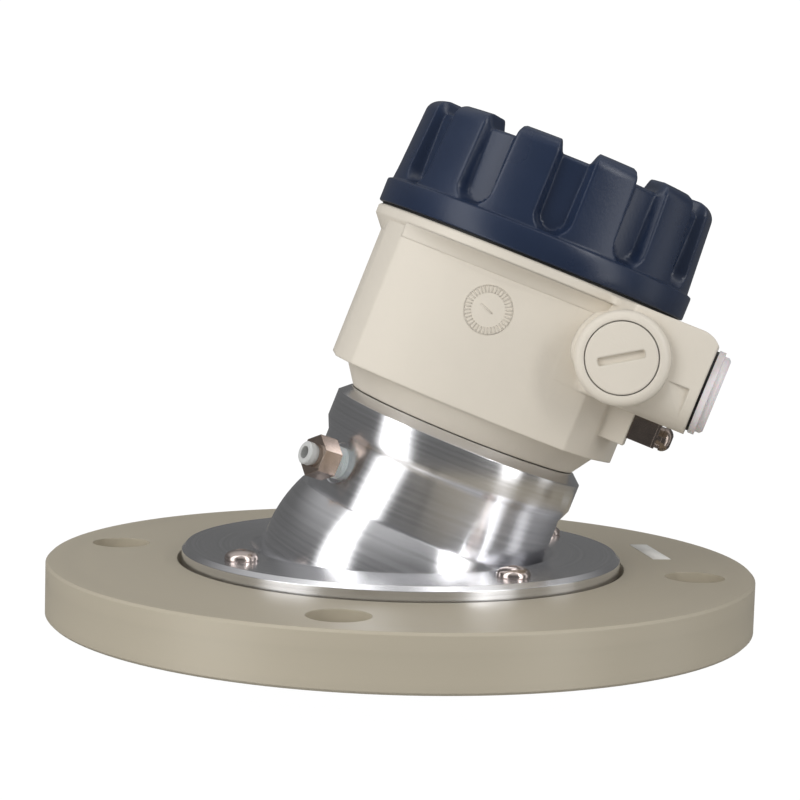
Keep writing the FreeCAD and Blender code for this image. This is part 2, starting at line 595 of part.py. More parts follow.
# Push-in air fitting: hexagon body, thread tape and the collet that is pressed to free the tube
def purge_fitting():
    hexagon = new_body("purge_body")
    turned_feature(hexagon, [
        ("0", "purge_inner_end"), ("purge_thread_radius", "purge_inner_end"),
        ("purge_thread_radius", "purge_hex_start"), ("0", "purge_hex_start")])
    sketch = sketch_on(hexagon, "XY_Plane", "purge_hex_start")
    outline(sketch, [("purge_hex_flats / sqrt(3) * cos(%d * 360 / 6)" % i,
                      "purge_hex_flats / sqrt(3) * sin(%d * 360 / 6)" % i) for i in range(6)])
    pad(hexagon, sketch, "purge_hex_length")
    steps = (("purge_duct_radius", "purge_hex_end - purge_inner_end + cut_over"),
             ("purge_tube_radius + thread_gap", "purge_tube_depth"),
             ("collet_sleeve_radius + running_gap", "collet_depth + collet_room"))
    for radius, depth in steps:
        bore = circle(sketch_on(hexagon, "XY_Plane", "purge_hex_end"), "0", "0", radius)
        pocket(hexagon, bore, depth)
    seat(hexagon, "purge_body", PURGE)
    turned("purge_tape", [
        ("purge_thread_radius + thread_gap", "purge_spot"), ("purge_tape_radius", "purge_spot"),
        ("purge_tape_radius", "purge_hex_start"),
        ("purge_thread_radius + thread_gap", "purge_hex_start")], PURGE)
    head = "(purge_hex_end + collet_lift)"
    end = "(purge_hex_end + collet_lift + collet_head_thick)"
    turned("purge_collet", [
        ("purge_tube_radius", "collet_start"), ("collet_sleeve_radius", "collet_start"),
        ("collet_sleeve_radius", head), ("collet_head_radius", head),
        ("collet_head_radius", end + " - collet_bevel"),
        ("collet_head_radius - collet_bevel", end), ("purge_tube_radius", end)], PURGE)


# Housing casting: turned neck and bead, flat-sided body, two conduit entries and an earth pad
def housing():
    body = new_body("housing")
    body_plan(body)
    turned_core(body)
    conduits(body)
    earth_pad(body)
    below, above = "body_bottom - cut_over", "thread_collar_top + cut_over"
    turned_feature(body, [
        ("0", below), ("spigot_bore", below), ("spigot_bore", "cavity_floor"),
        ("cavity_radius", "cavity_floor"), ("cavity_radius", above), ("0", above)],
        "PartDesign::Groove")
    conduit_bores(body)
    seat(body, "housing", HOUSING)


def body_plan(body):
    """The cast body's plan: bowed front, a ridge at each end of it, cheeks and a round back."""
    bow = "((ridge_half^2 + (front_depth - ridge_depth)^2) / (2 * (front_depth - ridge_depth)))"
    plan = sketch_on(body, "XY_Plane", "body_bottom")
    outline(plan, [
        ("-ridge_half", "-ridge_depth", bow), ("ridge_half", "-ridge_depth"),
        ("cheek_half", "-cheek_depth"), ("side_half", "-side_depth", "back_radius"),
        ("0", "back_radius", "back_radius"), ("-side_half", "-side_depth"),
        ("-cheek_half", "-cheek_depth")])
    pad(body, plan, "bead_full - bead_overlap - body_bottom")
    rounded(body, "ridge_round", lambda edge: upright(edge) and near(
        abs(edge.CenterOfMass.x), "ridge_half") and near(-edge.CenterOfMass.y, "ridge_depth"))


def upright(edge):
    return edge.BoundBox.XLength < 0.01 and edge.BoundBox.YLength < 0.01


def turned_core(body):
    """Spigot with its seal and snap ring grooves, neck cone, bead and thread collar."""
    spigot = "(socket_radius - running_gap)"
    groove = "(%s - neck_seal_thick - thread_gap)" % spigot
    seal_low = "neck_seal_height - neck_seal_thick / 2 - thread_gap"
    seal_high = "neck_seal_height + neck_seal_thick / 2 + thread_gap"
    snap = "(snap_inner - soft_gap)"
    snap_low = "snap_height - snap_thick / 2 - soft_gap"
    snap_high = "snap_height + snap_thick / 2 + soft_gap"
    neck = "(barrel_top + soft_gap)"
    core = "(cavity_radius + core_wall)"
    turned_feature(body, [
        ("spigot_bore", "spigot_bottom"), (spigot, "spigot_bottom"), (spigot, snap_low),
        (snap, snap_low), (snap, snap_high), (spigot, snap_high), (spigot, seal_low),
        (groove, seal_low), (groove, seal_high), (spigot, seal_high), (spigot, neck),
        ("neck_bottom_radius", neck), ("neck_radius", "body_bottom"),
        (core, "body_bottom + core_step"), (core, "bead_start - 2 * core_step"),
        ("back_radius", "bead_start"), ("bead_radius", "bead_full"), ("bead_radius", "entry_top"),
        ("bead_radius - rim_chamfer", "rim_height"), ("thread_collar_radius", "rim_height"),
        ("thread_collar_radius", "thread_collar_top"), ("cavity_radius", "thread_collar_top"),
        ("cavity_radius", "cavity_floor"), ("spigot_bore", "cavity_floor")])


def conduits(body):
    """Round boss on the front and the cable entry on the right."""
    boss = circle(sketch_on(body, "XZ_Plane", "boss_root"), "boss_side", "boss_height",
                  "boss_radius")
    pad(body, boss, "boss_length")
    entry = sketch_on(body, "YZ_Plane", "entry_root")
    front, back = "-(entry_depth + entry_radius)", "-(entry_depth - entry_radius)"
    outline(entry, [(front, "entry_height", "entry_radius"),
                    ("-entry_depth", "entry_height - entry_radius", "entry_radius"),
                    (back, "entry_height"), (back, "entry_top"), (front, "entry_top")])
    pad(body, entry, "entry_length")
    corner = sketch_on(body, "XZ_Plane", "entry_depth + entry_radius + cut_over")
    inner, low = "entry_face - entry_bevel", "entry_top - entry_bevel_drop"
    outer, high = "entry_face + cut_over", "entry_top + cut_over"
    outline(corner, [(inner, high), (inner, "entry_top", "-entry_bevel_round"),
                     ("entry_face", low), (outer, low), (outer, high)])
    pocket(body, corner, "2 * (entry_radius + cut_over)")
    rounded(body, "boss_round", lambda edge: near(-edge.BoundBox.YMin, "boss_face")
            and near(-edge.BoundBox.YMax, "boss_face"))


def earth_pad(body):
    face = sketch_on(body, "YZ_Plane", "earth_pad_root")
    box_outline(face, "-earth_depth - earth_pad_width / 2", "earth_pad_low",
                "-earth_depth + earth_pad_width / 2", "earth_pad_high")
    pad(body, face, "earth_pad_face - earth_pad_root")


def conduit_bores(body):
    """Threaded entries that meet in the corner, the way from there to the cavity, and the
    tapped holes for the earth screw and the lid's lock screw."""
    face = sketch_on(body, "XZ_Plane", "boss_face")
    pocket(body, circle(face, "boss_side", "boss_height", "plug_head_radius + plug_ring_gap"),
           "plug_head_thick")
    front = sketch_on(body, "XZ_Plane", "boss_face")
    pocket(body, circle(front, "boss_side", "boss_height", "conduit_radius"),
           "boss_length")
    right = sketch_on(body, "YZ_Plane", "entry_face")
    pocket(body, circle(right, "-entry_depth", "entry_height", "conduit_radius"),
           "entry_face - boss_side + conduit_overlap")
    way = sketch_on(body, "YZ_Plane", "boss_side")
    pocket(body, circle(way, "-wire_way_depth", "entry_height", "wire_way_radius"),
           "boss_side - entry_root + wire_way_radius")
    earth = sketch_on(body, "YZ_Plane", "earth_pad_face")
    pocket(body, circle(earth, "-earth_depth", "earth_height", "earth_hole_radius"),
           "earth_screw_reach + tap_runout")
    lock = sketch_on(body, "XY_Plane", "rim_height")
    pocket(body, circle(lock, "lock_side", "-lock_depth", "lock_radius + thread_gap"),
           "rim_chamfer + lock_reach + tap_runout")


# Plug of the front boss, with a coin slot in its face
def front_plug():
    body = new_body("front_plug")
    head = "(boss_face - plug_head_thick)"
    turned_feature(body, [
        ("0", "boss_face - plug_reach"), ("conduit_radius - thread_gap", "boss_face - plug_reach"),
        ("conduit_radius - thread_gap", head), ("plug_head_radius", head),
        ("plug_head_radius", "boss_face"), ("0", "boss_face")])
    slot = sketch_on(body, "XY_Plane", "boss_face")
    half, side = "((plug_slot_length - plug_slot_width) / 2)", "(plug_slot_width / 2)"
    turn = ("(({0}) * cos(plug_slot_turn) - ({1}) * sin(plug_slot_turn))",
            "(({0}) * sin(plug_slot_turn) + ({1}) * cos(plug_slot_turn))")
    ends = [("-" + half, "-" + side), (half, "-" + side, side), (half + " + " + side, "0", side),
            (half, side), ("-" + half, side, side), ("-" + half + " - " + side, "0", side)]
    outline(slot, [[text.format(*end[:2]) for text in turn] + list(end[2:]) for end in ends])
    pocket(body, slot, "plug_slot_depth")
    seat(body, "front_plug", PLUG)


# White cap and black seal that close the cable entry
def entry_cap():
    step, end = "(cap_seat + cap_flange_thick)", "(cap_seat + cap_flange_thick + cap_thick)"
    rim = "cap_flange_radius - entry_seal_inset"
    turned("entry_seal", [("conduit_radius", "entry_face"), (rim, "entry_face"),
                          (rim, "cap_seat"), ("conduit_radius", "cap_seat")], ENTRY)
    turned("entry_cap", [
        ("0", "entry_face - cap_reach"), ("conduit_radius - thread_gap", "entry_face - cap_reach"),
        ("conduit_radius - thread_gap", "cap_seat"), ("cap_flange_radius", "cap_seat"),
        ("cap_flange_radius", step), ("cap_radius", step), ("cap_radius", end + " - cap_bevel"),
        ("cap_radius - cap_bevel", end), ("0", end)], ENTRY)


# Earth terminal: slotted saddle, plate, spring washer and domed screw
def square_block(label, low, thick):
    """A square block on the earth screw, bored for it."""
    body = new_body(label)
    plan = sketch_on(body, "XY_Plane", low)
    box_outline(plan, "-earth_block_half", "-earth_block_half", "earth_block_half",
                "earth_block_half")
    pad(body, plan, thick)
    middle = circle(sketch_on(body, "XY_Plane"), "0", "0", "earth_hole_radius")
    pocket(body, middle, through=True)
    return body


def earth_terminal():
    saddle = square_block("earth_saddle", "earth_pad_face", "earth_block_length")
    slot = sketch_on(saddle, "YZ_Plane")
    box_outline(slot, "earth_block_half - earth_slot", "earth_plate_low - earth_slot",
                "earth_block_half + cut_over", "earth_plate_low + cut_over")
    pocket(saddle, slot, through=True)
    seat(saddle, "earth_saddle", EARTH)
    plate = square_block("earth_plate", "earth_plate_low", "earth_plate_thick")
    seat(plate, "earth_plate", EARTH)
    turned("earth_washer", [
        ("earth_hole_radius", "earth_washer_low"), ("earth_washer_radius", "earth_washer_low"),
        ("earth_washer_radius", "earth_head_low"), ("earth_hole_radius", "earth_head_low")], EARTH)
    turned("earth_screw", [
        ("0", "earth_pad_face - earth_screw_reach"),
        ("earth_screw_radius", "earth_pad_face - earth_screw_reach"),
        ("earth_screw_radius", "earth_head_low"), ("earth_head_radius", "earth_head_low"),
        ("earth_head_radius", "earth_head_low + earth_head_rim", "earth_head_round"),
        ("earth_head_crown", "earth_head_low + earth_head_height"),
        ("0", "earth_head_low + earth_head_height")], EARTH)


def lid_lock_screw():
    tip, crown = "entry_top - lock_reach", "entry_top + lock_head_height"
    turned("lid_lock_screw", [
        ("0", tip), ("lock_radius", tip), ("lock_radius", "entry_top"),
        ("lock_head_radius", "entry_top"), ("lock_head_radius", crown + " - lock_bevel"),
        ("lock_head_radius - lock_bevel", crown), ("0", crown)],
        HOUSING + " * placement(vector(lock_side; -lock_depth; 0); rotation(vector(0; 0; 1); 0))")


# Lid: screwed cap with twelve grip flutes that run over its shoulder
def lid():
    body = new_body("lid")
    step = "(lid_low + lid_rim_height)"
    turned_feature(body, [
        ("lid_bore", "lid_low"), ("lid_rim_radius", "lid_low"), ("lid_rim_radius", step),
        ("lid_foot_radius", step + " + lid_rim_cone"),
        ("lid_head_radius", "lid_top - lid_shoulder", "lid_shoulder"),
        ("lid_head_radius - lid_shoulder", "lid_top"), ("0", "lid_top"),
        ("0", "lid_top - lid_roof"), ("lid_cavity", "lid_top - lid_roof"),
        ("lid_cavity", "lid_bore_end"), ("lid_bore", "lid_bore_end")])
    half, above = "flute_width / 2", "lid_top + cut_over"
    slot = sketch_on(body, "XZ_Plane", "flute_floor")
    outline(slot, [("-" + half, "flute_low + " + half, half), ("0", "flute_low", half),
                   (half, "flute_low + " + half), (half, above), ("-" + half, above)])
    side = pocket(body, slot, "lid_rim_radius - flute_floor + cut_over", outward=True)
    over = sketch_on(body, "XZ_Plane", "notch_inner")
    box_outline(over, "-" + half, "notch_floor", half, above)
    notch = pocket(body, over, "lid_rim_radius - notch_inner + cut_over", outward=True)
    polar(body, [side, notch], "flute_count")
    seat(body, "lid", LID)


def lid_seal():
    low, high = "rim_height + thread_gap", "lid_low - thread_gap"
    outer = "bead_radius - lid_seal_inset"
    turned("lid_seal", [("lid_bore", low), (outer, low), (outer, high), ("lid_bore", high)], LEANING)


# Electronics that show when the lid is off
def electronics():
    board = new_body("main_board")
    turned_feature(board, [("0", "board_height"), ("board_radius", "board_height"),
                           ("board_radius", "board_top"), ("0", "board_top")])
    hole = circle(sketch_on(board, "XY_Plane"), "post_pitch", "0", "board_screw_radius + thread_gap")
    polar(board, [pocket(board, hole, through=True)], "post_count")
    seat(board, "main_board", HOUSING)
    tapped = "board_screw_radius + thread_gap"
    ring_of("board_posts", "post_count", "post_pitch", "0", lambda: spun([
        ("0", "cavity_floor"), ("post_radius", "cavity_floor"), ("post_radius", "board_height"),
        (tapped, "board_height"), (tapped, "board_height - post_tap"),
        ("0", "board_height - post_tap")]), HOUSING)
    crown = "board_top + board_screw_head_height"
    ring_of("board_screws", "post_count", "post_pitch", "0", lambda: spun([
        ("0", "board_height - board_screw_reach"),
        ("board_screw_radius", "board_height - board_screw_reach"),
        ("board_screw_radius", "board_top"), ("board_screw_head", "board_top"),
        ("board_screw_head", crown), ("0", crown)]), HOUSING)


def terminals():
    block = new_body("terminal_block")
    plan = sketch_on(block, "XY_Plane", "board_top")
    box_outline(plan, "-block_length / 2", "block_back", "block_length / 2", "part_edge")
    pad(block, plan, "block_height")
    screws = []
    for i in range(int(number("terminal_count"))):
        across = "((%d - (terminal_count - 1) / 2) * terminal_pitch)" % i
        up = "(block_back + terminal_inset)"
        well = circle(sketch_on(block, "XY_Plane", "board_top + block_height"), across, up,
                      "terminal_screw_radius + soft_gap")
        pocket(block, well, "terminal_well")
        mouth = sketch_on(block, "XZ_Plane", "-block_back")
        low = "board_top + wire_mouth_low"
        box_outline(mouth, across + " - terminal_screw_radius", low,
                    across + " + terminal_screw_radius", low + " + wire_mouth_height")
        pocket(block, mouth, "terminal_inset")
        screw = doc.addObject("Part::Cylinder", "TerminalScrew")
        bind(screw, Radius="terminal_screw_radius", Height="terminal_screw_height",
             Placement="placement(vector(%s; %s; board_top + block_height - terminal_well);"
                       " rotation(vector(0; 0; 1); 0))" % (across, up))
        screws.append(screw)
    seat(block, "terminal_block", HOUSING)
    group = doc.addObject("Part::Compound", "terminal_screws")
    group.Links = screws
    doc.recompute()
    seat(group, "terminal_screws", HOUSING)


def display():
    case = new_body("display_module")
    plan = sketch_on(case, "XY_Plane", "board_top")
    box_outline(plan, "-display_length / 2", "-part_edge", "display_length / 2", "-display_back")
    pad(case, plan, "display_height")
    recess = sketch_on(case, "XY_Plane", "board_top + display_height")
    left, low = "-display_length / 2 + glass_inset", "-part_edge + glass_inset"
    box_outline(recess, left, low, "display_length / 2 - glass_inset",
                "-display_back - glass_inset")
    pocket(case, recess, "glass_thick")
    seat(case, "display_module", HOUSING)
    glass = doc.addObject("Part::Box", "display_glass")
    bind(glass, Length="display_length - 2 * glass_inset", Width="display_width - 2 * glass_inset",
         Height="glass_thick")
    seat(glass, "display_glass", HOUSING + " * placement(vector(%s; %s; board_top + display_height"
         " - glass_thick); rotation(vector(0; 0; 1); 0))" % (left, low))


process_flange()
clamp_disc()
ring_of("clamp_screws", "clamp_count", "clamp_pitch", "clamp_turn", clamp_screw)
seat_ring()
o_ring("ball_seal", "seat_radius + ball_seal_thick / 2", "ball_seal_height", "ball_seal_thick")
ball_barrel()
snap_ring()
purge_ring()
antenna()
radar_module()
purge_fitting()
housing()
o_ring("neck_seal", "socket_radius - running_gap - neck_seal_thick / 2 - thread_gap",
       "neck_seal_height", "neck_seal_thick", LEANING)
front_plug()
entry_cap()
earth_terminal()
lid_lock_screw()
lid()
lid_seal()
electronics()
terminals()
display()

doc.recompute()
for thing in doc.Objects:
    if "Invalid" in thing.State or "Error" in thing.State:
        raise RuntimeError("%s could not be made: %s" % (thing.Name, thing.State))
for thing in nodes:
    if thing.Shape.isNull() or not thing.Shape.isValid():
        raise RuntimeError("%s is not a sound solid" % thing.Label)

os.makedirs("parts", exist_ok=True)
for thing in nodes:
    thing.Shape.exportStep("parts/%s.step" % thing.Label)
    print(thing.Label, len(thing.Shape.Solids), round(thing.Shape.Volume, 1))
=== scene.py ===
import json
import math

import bmesh
import bpy
from mathutils import Matrix, Vector


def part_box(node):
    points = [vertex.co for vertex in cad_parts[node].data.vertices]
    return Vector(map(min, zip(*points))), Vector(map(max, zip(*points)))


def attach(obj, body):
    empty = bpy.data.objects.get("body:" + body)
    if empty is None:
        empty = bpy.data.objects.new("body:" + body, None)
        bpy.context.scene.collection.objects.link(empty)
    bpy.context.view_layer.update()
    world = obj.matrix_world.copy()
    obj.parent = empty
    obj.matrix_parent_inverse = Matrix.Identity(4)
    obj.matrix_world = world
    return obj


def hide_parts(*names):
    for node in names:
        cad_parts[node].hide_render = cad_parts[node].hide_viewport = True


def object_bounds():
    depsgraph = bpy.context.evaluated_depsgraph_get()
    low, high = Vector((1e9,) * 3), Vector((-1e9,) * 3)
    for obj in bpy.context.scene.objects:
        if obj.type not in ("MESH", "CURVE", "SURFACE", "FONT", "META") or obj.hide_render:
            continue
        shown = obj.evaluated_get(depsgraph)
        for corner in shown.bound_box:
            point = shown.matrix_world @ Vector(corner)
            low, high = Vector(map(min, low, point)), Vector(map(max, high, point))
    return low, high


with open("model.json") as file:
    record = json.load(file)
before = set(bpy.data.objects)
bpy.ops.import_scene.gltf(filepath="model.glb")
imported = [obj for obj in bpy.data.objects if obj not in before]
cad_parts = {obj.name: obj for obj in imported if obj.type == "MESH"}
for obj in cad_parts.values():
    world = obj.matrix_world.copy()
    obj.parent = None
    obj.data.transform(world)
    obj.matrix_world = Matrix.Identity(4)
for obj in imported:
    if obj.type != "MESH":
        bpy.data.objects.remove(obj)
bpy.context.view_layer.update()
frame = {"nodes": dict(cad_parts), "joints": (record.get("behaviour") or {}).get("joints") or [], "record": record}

# Radar level sensor on an aiming flange: finishes, small fittings, studio and camera.
# Metres, in the frame of the solids: the flange's underside is at z = 0 and the head leans
# towards +X. Lengths written in millimetres are named so and multiplied by MM.

MM = 0.001
joints = {joint["name"]: joint for joint in frame["joints"]}

# Places of the leaning head, the housing on it and the flange
BALL_CENTRE = Vector(joints["head_tilt"]["pos_m"])
HEAD_AXIS = Vector(joints["housing_spin"]["axis"])
LEAN = math.acos(HEAD_AXIS.z)
HEAD = Matrix.Translation(BALL_CENTRE) @ Matrix.Rotation(LEAN, 4, "Y")
HOUSING = HEAD @ Matrix.Rotation(math.radians(-13.5), 4, "Z")
FLANGE_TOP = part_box("process_flange")[1][2]
DISC_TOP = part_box("clamp_disc")[1][2]
UP = Vector((0, 0, 1))


# Small helpers for node trees
def feed(tree, socket, value):
    if isinstance(value, bpy.types.NodeSocket):
        tree.links.new(value, socket)
    elif isinstance(value, Vector):
        socket.default_value = tuple(value)
    else:
        socket.default_value = value


def node(tree, kind, **given):
    """A node of that kind: a name that the node has as a socket is fed, any other is set."""
    made = tree.nodes.new("ShaderNode" + kind if hasattr(bpy.types, "ShaderNode" + kind) else kind)
    settings = {key: value for key, value in given.items() if key[0].islower()}
    for key, value in settings.items():
        setattr(made, key, value)
    for key, value in given.items():
        if key not in settings:
            feed(tree, made.inputs[key.replace("_", " ")], value)
    return made


def maths(tree, operation, *values):
    made = node(tree, "Math", operation=operation)
    for place, value in enumerate(values):
        feed(tree, made.inputs[place], value)
    return made.outputs[0]


def vectors(tree, operation, *values):
    made = node(tree, "VectorMath", operation=operation)
    for place, value in enumerate(values):
        feed(tree, made.inputs[place], value)
    return made.outputs["Value" if operation in ("DOT_PRODUCT", "LENGTH") else "Vector"]


def ranged(tree, value, low, high, to_low, to_high, smooth=False):
    """Maps a value from one range to another and stops at the ends."""
    made = node(tree, "MapRange", Value=value, From_Min=low, From_Max=high,
                To_Min=to_low, To_Max=to_high)
    if smooth:
        made.interpolation_type = "SMOOTHSTEP"
    return made.outputs["Result"]


def new_group(name, takes, gives):
    tree = bpy.data.node_groups.new(name, "ShaderNodeTree")
    for label, kind in takes:
        tree.interface.new_socket(label, in_out="INPUT", socket_type="NodeSocket" + kind)
    for label, kind in gives:
        tree.interface.new_socket(label, in_out="OUTPUT", socket_type="NodeSocket" + kind)
    return tree, tree.nodes.new("NodeGroupInput"), tree.nodes.new("NodeGroupOutput")


def use_group(tree, group, **given):
    made = tree.nodes.new("ShaderNodeGroup")
    made.node_tree = group
    for key, value in given.items():
        feed(tree, made.inputs[key.replace("_", " ")], value)
    return made


# Effects that several finishes share
def coat_texture_group():
    """Fine relief of a sprayed or moulded skin, with slow changes of tone under it."""
    tree, given, result = new_group(
        "skin relief", [("Vector", "Vector"), ("Grain", "Float"), ("Patch", "Float")],
        [("Height", "Float"), ("Tone", "Float")])
    fine = node(tree, "TexNoise", Vector=given.outputs["Vector"],
                Scale=maths(tree, "DIVIDE", 1.0, given.outputs["Grain"]), Detail=2.0)
    coarse = node(tree, "TexNoise", Vector=given.outputs["Vector"],
                  Scale=maths(tree, "DIVIDE", 0.25, given.outputs["Grain"]), Detail=1.0)
    patch = node(tree, "TexNoise", Vector=given.outputs["Vector"],
                 Scale=maths(tree, "DIVIDE", 1.0, given.outputs["Patch"]), Detail=4.0)
    tree.links.new(maths(tree, "ADD", fine.outputs[0], coarse.outputs[0]), result.inputs["Height"])
    tree.links.new(patch.outputs[0], result.inputs["Tone"])
    return tree


def turning_group():
    """Rings left by a lathe tool round an axis: relief, and tone from ring to ring."""
    tree, given, result = new_group(
        "lathe rings", [("Along", "Float"), ("Across", "Float"), ("Pitch", "Float")],
        [("Height", "Float"), ("Tone", "Float")])
    path = maths(tree, "ADD", given.outputs["Along"], given.outputs["Across"])
    turns = maths(tree, "DIVIDE", path, given.outputs["Pitch"])
    rings = node(tree, "TexNoise", noise_dimensions="1D", W=turns, Scale=1.0, Detail=3.0)
    bands = node(tree, "TexNoise", noise_dimensions="1D", Scale=0.09, Detail=2.0, W=turns)
    tree.links.new(rings.outputs[0], result.inputs["Height"])
    tree.links.new(bands.outputs[0], result.inputs["Tone"])
    return tree


SKIN = coat_texture_group()
RINGS = turning_group()


def srgb(red, green, blue):
    """A colour given as it looks on screen, 0 to 255, in the renderer's linear numbers."""
    def linear(level):
        level /= 255
        return level / 12.92 if level <= 0.04045 else ((level + 0.055) / 1.055) ** 2.4
    return (linear(red), linear(green), linear(blue), 1.0)


def new_finish(name):
    material = bpy.data.materials.new(name)
    material.use_nodes = True
    tree = material.node_tree
    return material, tree, tree.nodes["Principled BSDF"]


def shades(tree, colour, tone, spread):
    """The colour a little darker and lighter, as the tone goes from 0.3 to 0.7."""
    dark = tuple(channel * (1 - spread) for channel in colour[:3]) + (1.0,)
    light = tuple(min(channel * (1 + spread), 1.0) for channel in colour[:3]) + (1.0,)
    mix = node(tree, "Mix", data_type="RGBA")
    feed(tree, mix.inputs["Factor"], ranged(tree, tone, 0.3, 0.7, 0.0, 1.0))
    feed(tree, mix.inputs[6], dark)
    feed(tree, mix.inputs[7], light)
    return mix.outputs[2]


def relief(tree, height, depth, edge):
    """Normal with rounded edges and the given relief on them."""
    soft = node(tree, "Bevel", Radius=edge, samples=6)
    bump = node(tree, "Bump", Height=height, Strength=1.0, Distance=depth,
                Normal=soft.outputs["Normal"])
    return bump.outputs["Normal"]


def skin_finish(name, colour, roughness, grain=0.9, depth=0.02, patch=18.0, spread=0.03, edge=0.5,
                metallic=0.0, gloss=0.5, milky=0.0, coat=0.0):
    """Paint, plastic, rubber and plate. Grain, depth, patch and edge are in millimetres."""
    material, tree, shader = new_finish(name)
    place = node(tree, "TexCoord").outputs["Object"]
    skin = use_group(tree, SKIN, Vector=place, Grain=grain * MM, Patch=patch * MM)
    feed(tree, shader.inputs["Base Color"], shades(tree, colour, skin.outputs["Tone"], spread))
    feed(tree, shader.inputs["Roughness"], ranged(
        tree, skin.outputs["Tone"], 0.3, 0.7, roughness * 0.9, min(roughness * 1.12, 1.0)))
    feed(tree, shader.inputs["Normal"], relief(tree, skin.outputs["Height"], depth * MM,
                                               edge * MM))
    shader.inputs["Metallic"].default_value = metallic
    shader.inputs["Specular IOR Level"].default_value = gloss
    if milky:
        shader.inputs["Subsurface Weight"].default_value = milky
        shader.inputs["Subsurface Scale"].default_value = 2 * MM
    if coat:
        shader.inputs["Coat Weight"].default_value = coat
        shader.inputs["Coat Roughness"].default_value = 0.25
    return material


def turned_finish(name, colour, centre, axis, roughness=0.22, pitch=0.12, depth=0.0005, edge=0.3,
                  stretch=0.85, metallic=1.0, spread=0.05):
    """Lathe-turned surface: rings round the axis and highlights that run across them."""
    material, tree, shader = new_finish(name)
    place = node(tree, "TexCoord").outputs["Object"]
    arm = vectors(tree, "SUBTRACT", place, centre)
    along = vectors(tree, "DOT_PRODUCT", arm, axis)
    round_way = vectors(tree, "CROSS_PRODUCT", axis, arm)
    across = vectors(tree, "LENGTH", round_way)
    rings = use_group(tree, RINGS, Along=along, Across=across, Pitch=pitch * MM)
    feed(tree, shader.inputs["Base Color"], shades(tree, colour, rings.outputs["Tone"], spread))
    feed(tree, shader.inputs["Roughness"], ranged(
        tree, rings.outputs["Tone"], 0.3, 0.7, roughness * 0.95, roughness * 1.06))
    feed(tree, shader.inputs["Normal"], relief(tree, rings.outputs["Height"], depth * MM,
                                               edge * MM))
    shader.inputs["Metallic"].default_value = metallic
    if stretch:
        shader.inputs["Anisotropic"].default_value = stretch
        shader.inputs["Anisotropic Rotation"].default_value = 0.25
        feed(tree, shader.inputs["Tangent"], vectors(tree, "NORMALIZE", round_way))
    return material


def glass_finish():
    material, tree, shader = new_finish("display window")
    shader.inputs["Base Color"].default_value = srgb(150, 160, 150)
    shader.inputs["Roughness"].default_value = 0.08
    shader.inputs["Transmission Weight"].default_value = 0.6
    return material


ALUMINIUM = (0.78, 0.78, 0.80, 1.0)
FINISHES = {
    "flange_plastic": turned_finish("turned grey polypropylene", srgb(179, 170, 151), Vector(), UP,
                                    roughness=0.38, pitch=0.5, depth=0.006, edge=0.5,
                                    stretch=0.0, metallic=0.0, spread=0.02),
    "turned_aluminium": turned_finish("turned aluminium head", ALUMINIUM, BALL_CENTRE, HEAD_AXIS),
    "screw_steel": skin_finish("bright screw steel", srgb(205, 192, 186), 0.2, grain=0.4,
                               depth=0.004, edge=0.15, metallic=1.0),
    "white_ptfe": skin_finish("milky lens plastic", srgb(232, 231, 224), 0.35, depth=0.005,
                              edge=0.3, milky=0.25),
    "black_rubber": skin_finish("black seal rubber", srgb(26, 25, 25), 0.6, edge=0.1),
    "module_case": skin_finish("satin module case", srgb(188, 190, 194), 0.35, metallic=1.0),
    "dark_plastic": skin_finish("dark moulded plastic", srgb(44, 45, 48), 0.5, edge=0.3),
    "nickel_brass": skin_finish("nickel plated brass", srgb(196, 178, 166), 0.2, grain=0.5,
                                depth=0.006, edge=0.25, metallic=1.0, spread=0.08, patch=3.0),
    "thread_tape": skin_finish("white thread tape", srgb(228, 228, 226), 0.55, grain=0.5,
                               depth=0.06, edge=0.1, milky=0.2),
    "collet_plastic": skin_finish("pale grey collet", srgb(196, 197, 195), 0.45, edge=0.3),
    "housing_paint": skin_finish("ivory powder coat", srgb(219, 211, 197), 0.42, grain=0.8,
                                 depth=0.035, patch=24.0, spread=0.02, edge=1.0),
    "cap_plastic": skin_finish("white cap plastic", srgb(228, 222, 222), 0.4, edge=0.4, milky=0.2),
    "dark_nickel": skin_finish("dark nickel plate", srgb(150, 138, 130), 0.22, grain=0.5,
                               depth=0.006, edge=0.2, metallic=1.0, spread=0.1, patch=4.0),
    "board_green": skin_finish("green solder mask", srgb(30, 92, 52), 0.35, edge=0.1),
    "terminal_plastic": skin_finish("green terminal plastic", srgb(58, 128, 78), 0.45, edge=0.3),
    "display_glass": glass_finish(),
    "lid_paint": skin_finish("navy powder coat", srgb(31, 43, 66), 0.29, grain=0.9, depth=0.025,
                             patch=20.0, spread=0.05, edge=0.8, gloss=0.42),
}
DISC_METAL = turned_finish("turned aluminium disc", ALUMINIUM, Vector(), UP, roughness=0.2,
                           pitch=0.1)
LABEL_WHITE = skin_finish("blank label", srgb(236, 234, 228), 0.4, grain=0.3, depth=0.004)


# Solids from the drawing: welded, smooth on curved faces, sharp at edges
WELD_MM = 0.004
SHARP_ANGLE = math.radians(32)


def dress_node(name, finish):
    piece = frame["nodes"][name]
    normals = piece.data.attributes.get("custom_normal")
    if normals:
        piece.data.attributes.remove(normals)
    piece.data.polygons.foreach_set("use_smooth", [True] * len(piece.data.polygons))
    piece.data.materials.clear()
    piece.data.materials.append(finish)
    weld = piece.modifiers.new("weld", "WELD")
    weld.merge_threshold = WELD_MM * MM
    split = piece.modifiers.new("sharp edges", "EDGE_SPLIT")
    split.split_angle = SHARP_ANGLE


for entry in frame["record"]["subparts"]:
    dress_node(entry["node"], FINISHES[entry["material_slot"]])
frame["nodes"]["clamp_disc"].data.materials[0] = DISC_METAL


# Making pieces
def mesh_of(shape, name):
    """The mesh of a shape that is finished; the shape is freed."""
    mesh = bpy.data.meshes.new(name)
    shape.to_mesh(mesh)
    shape.free()
    return mesh


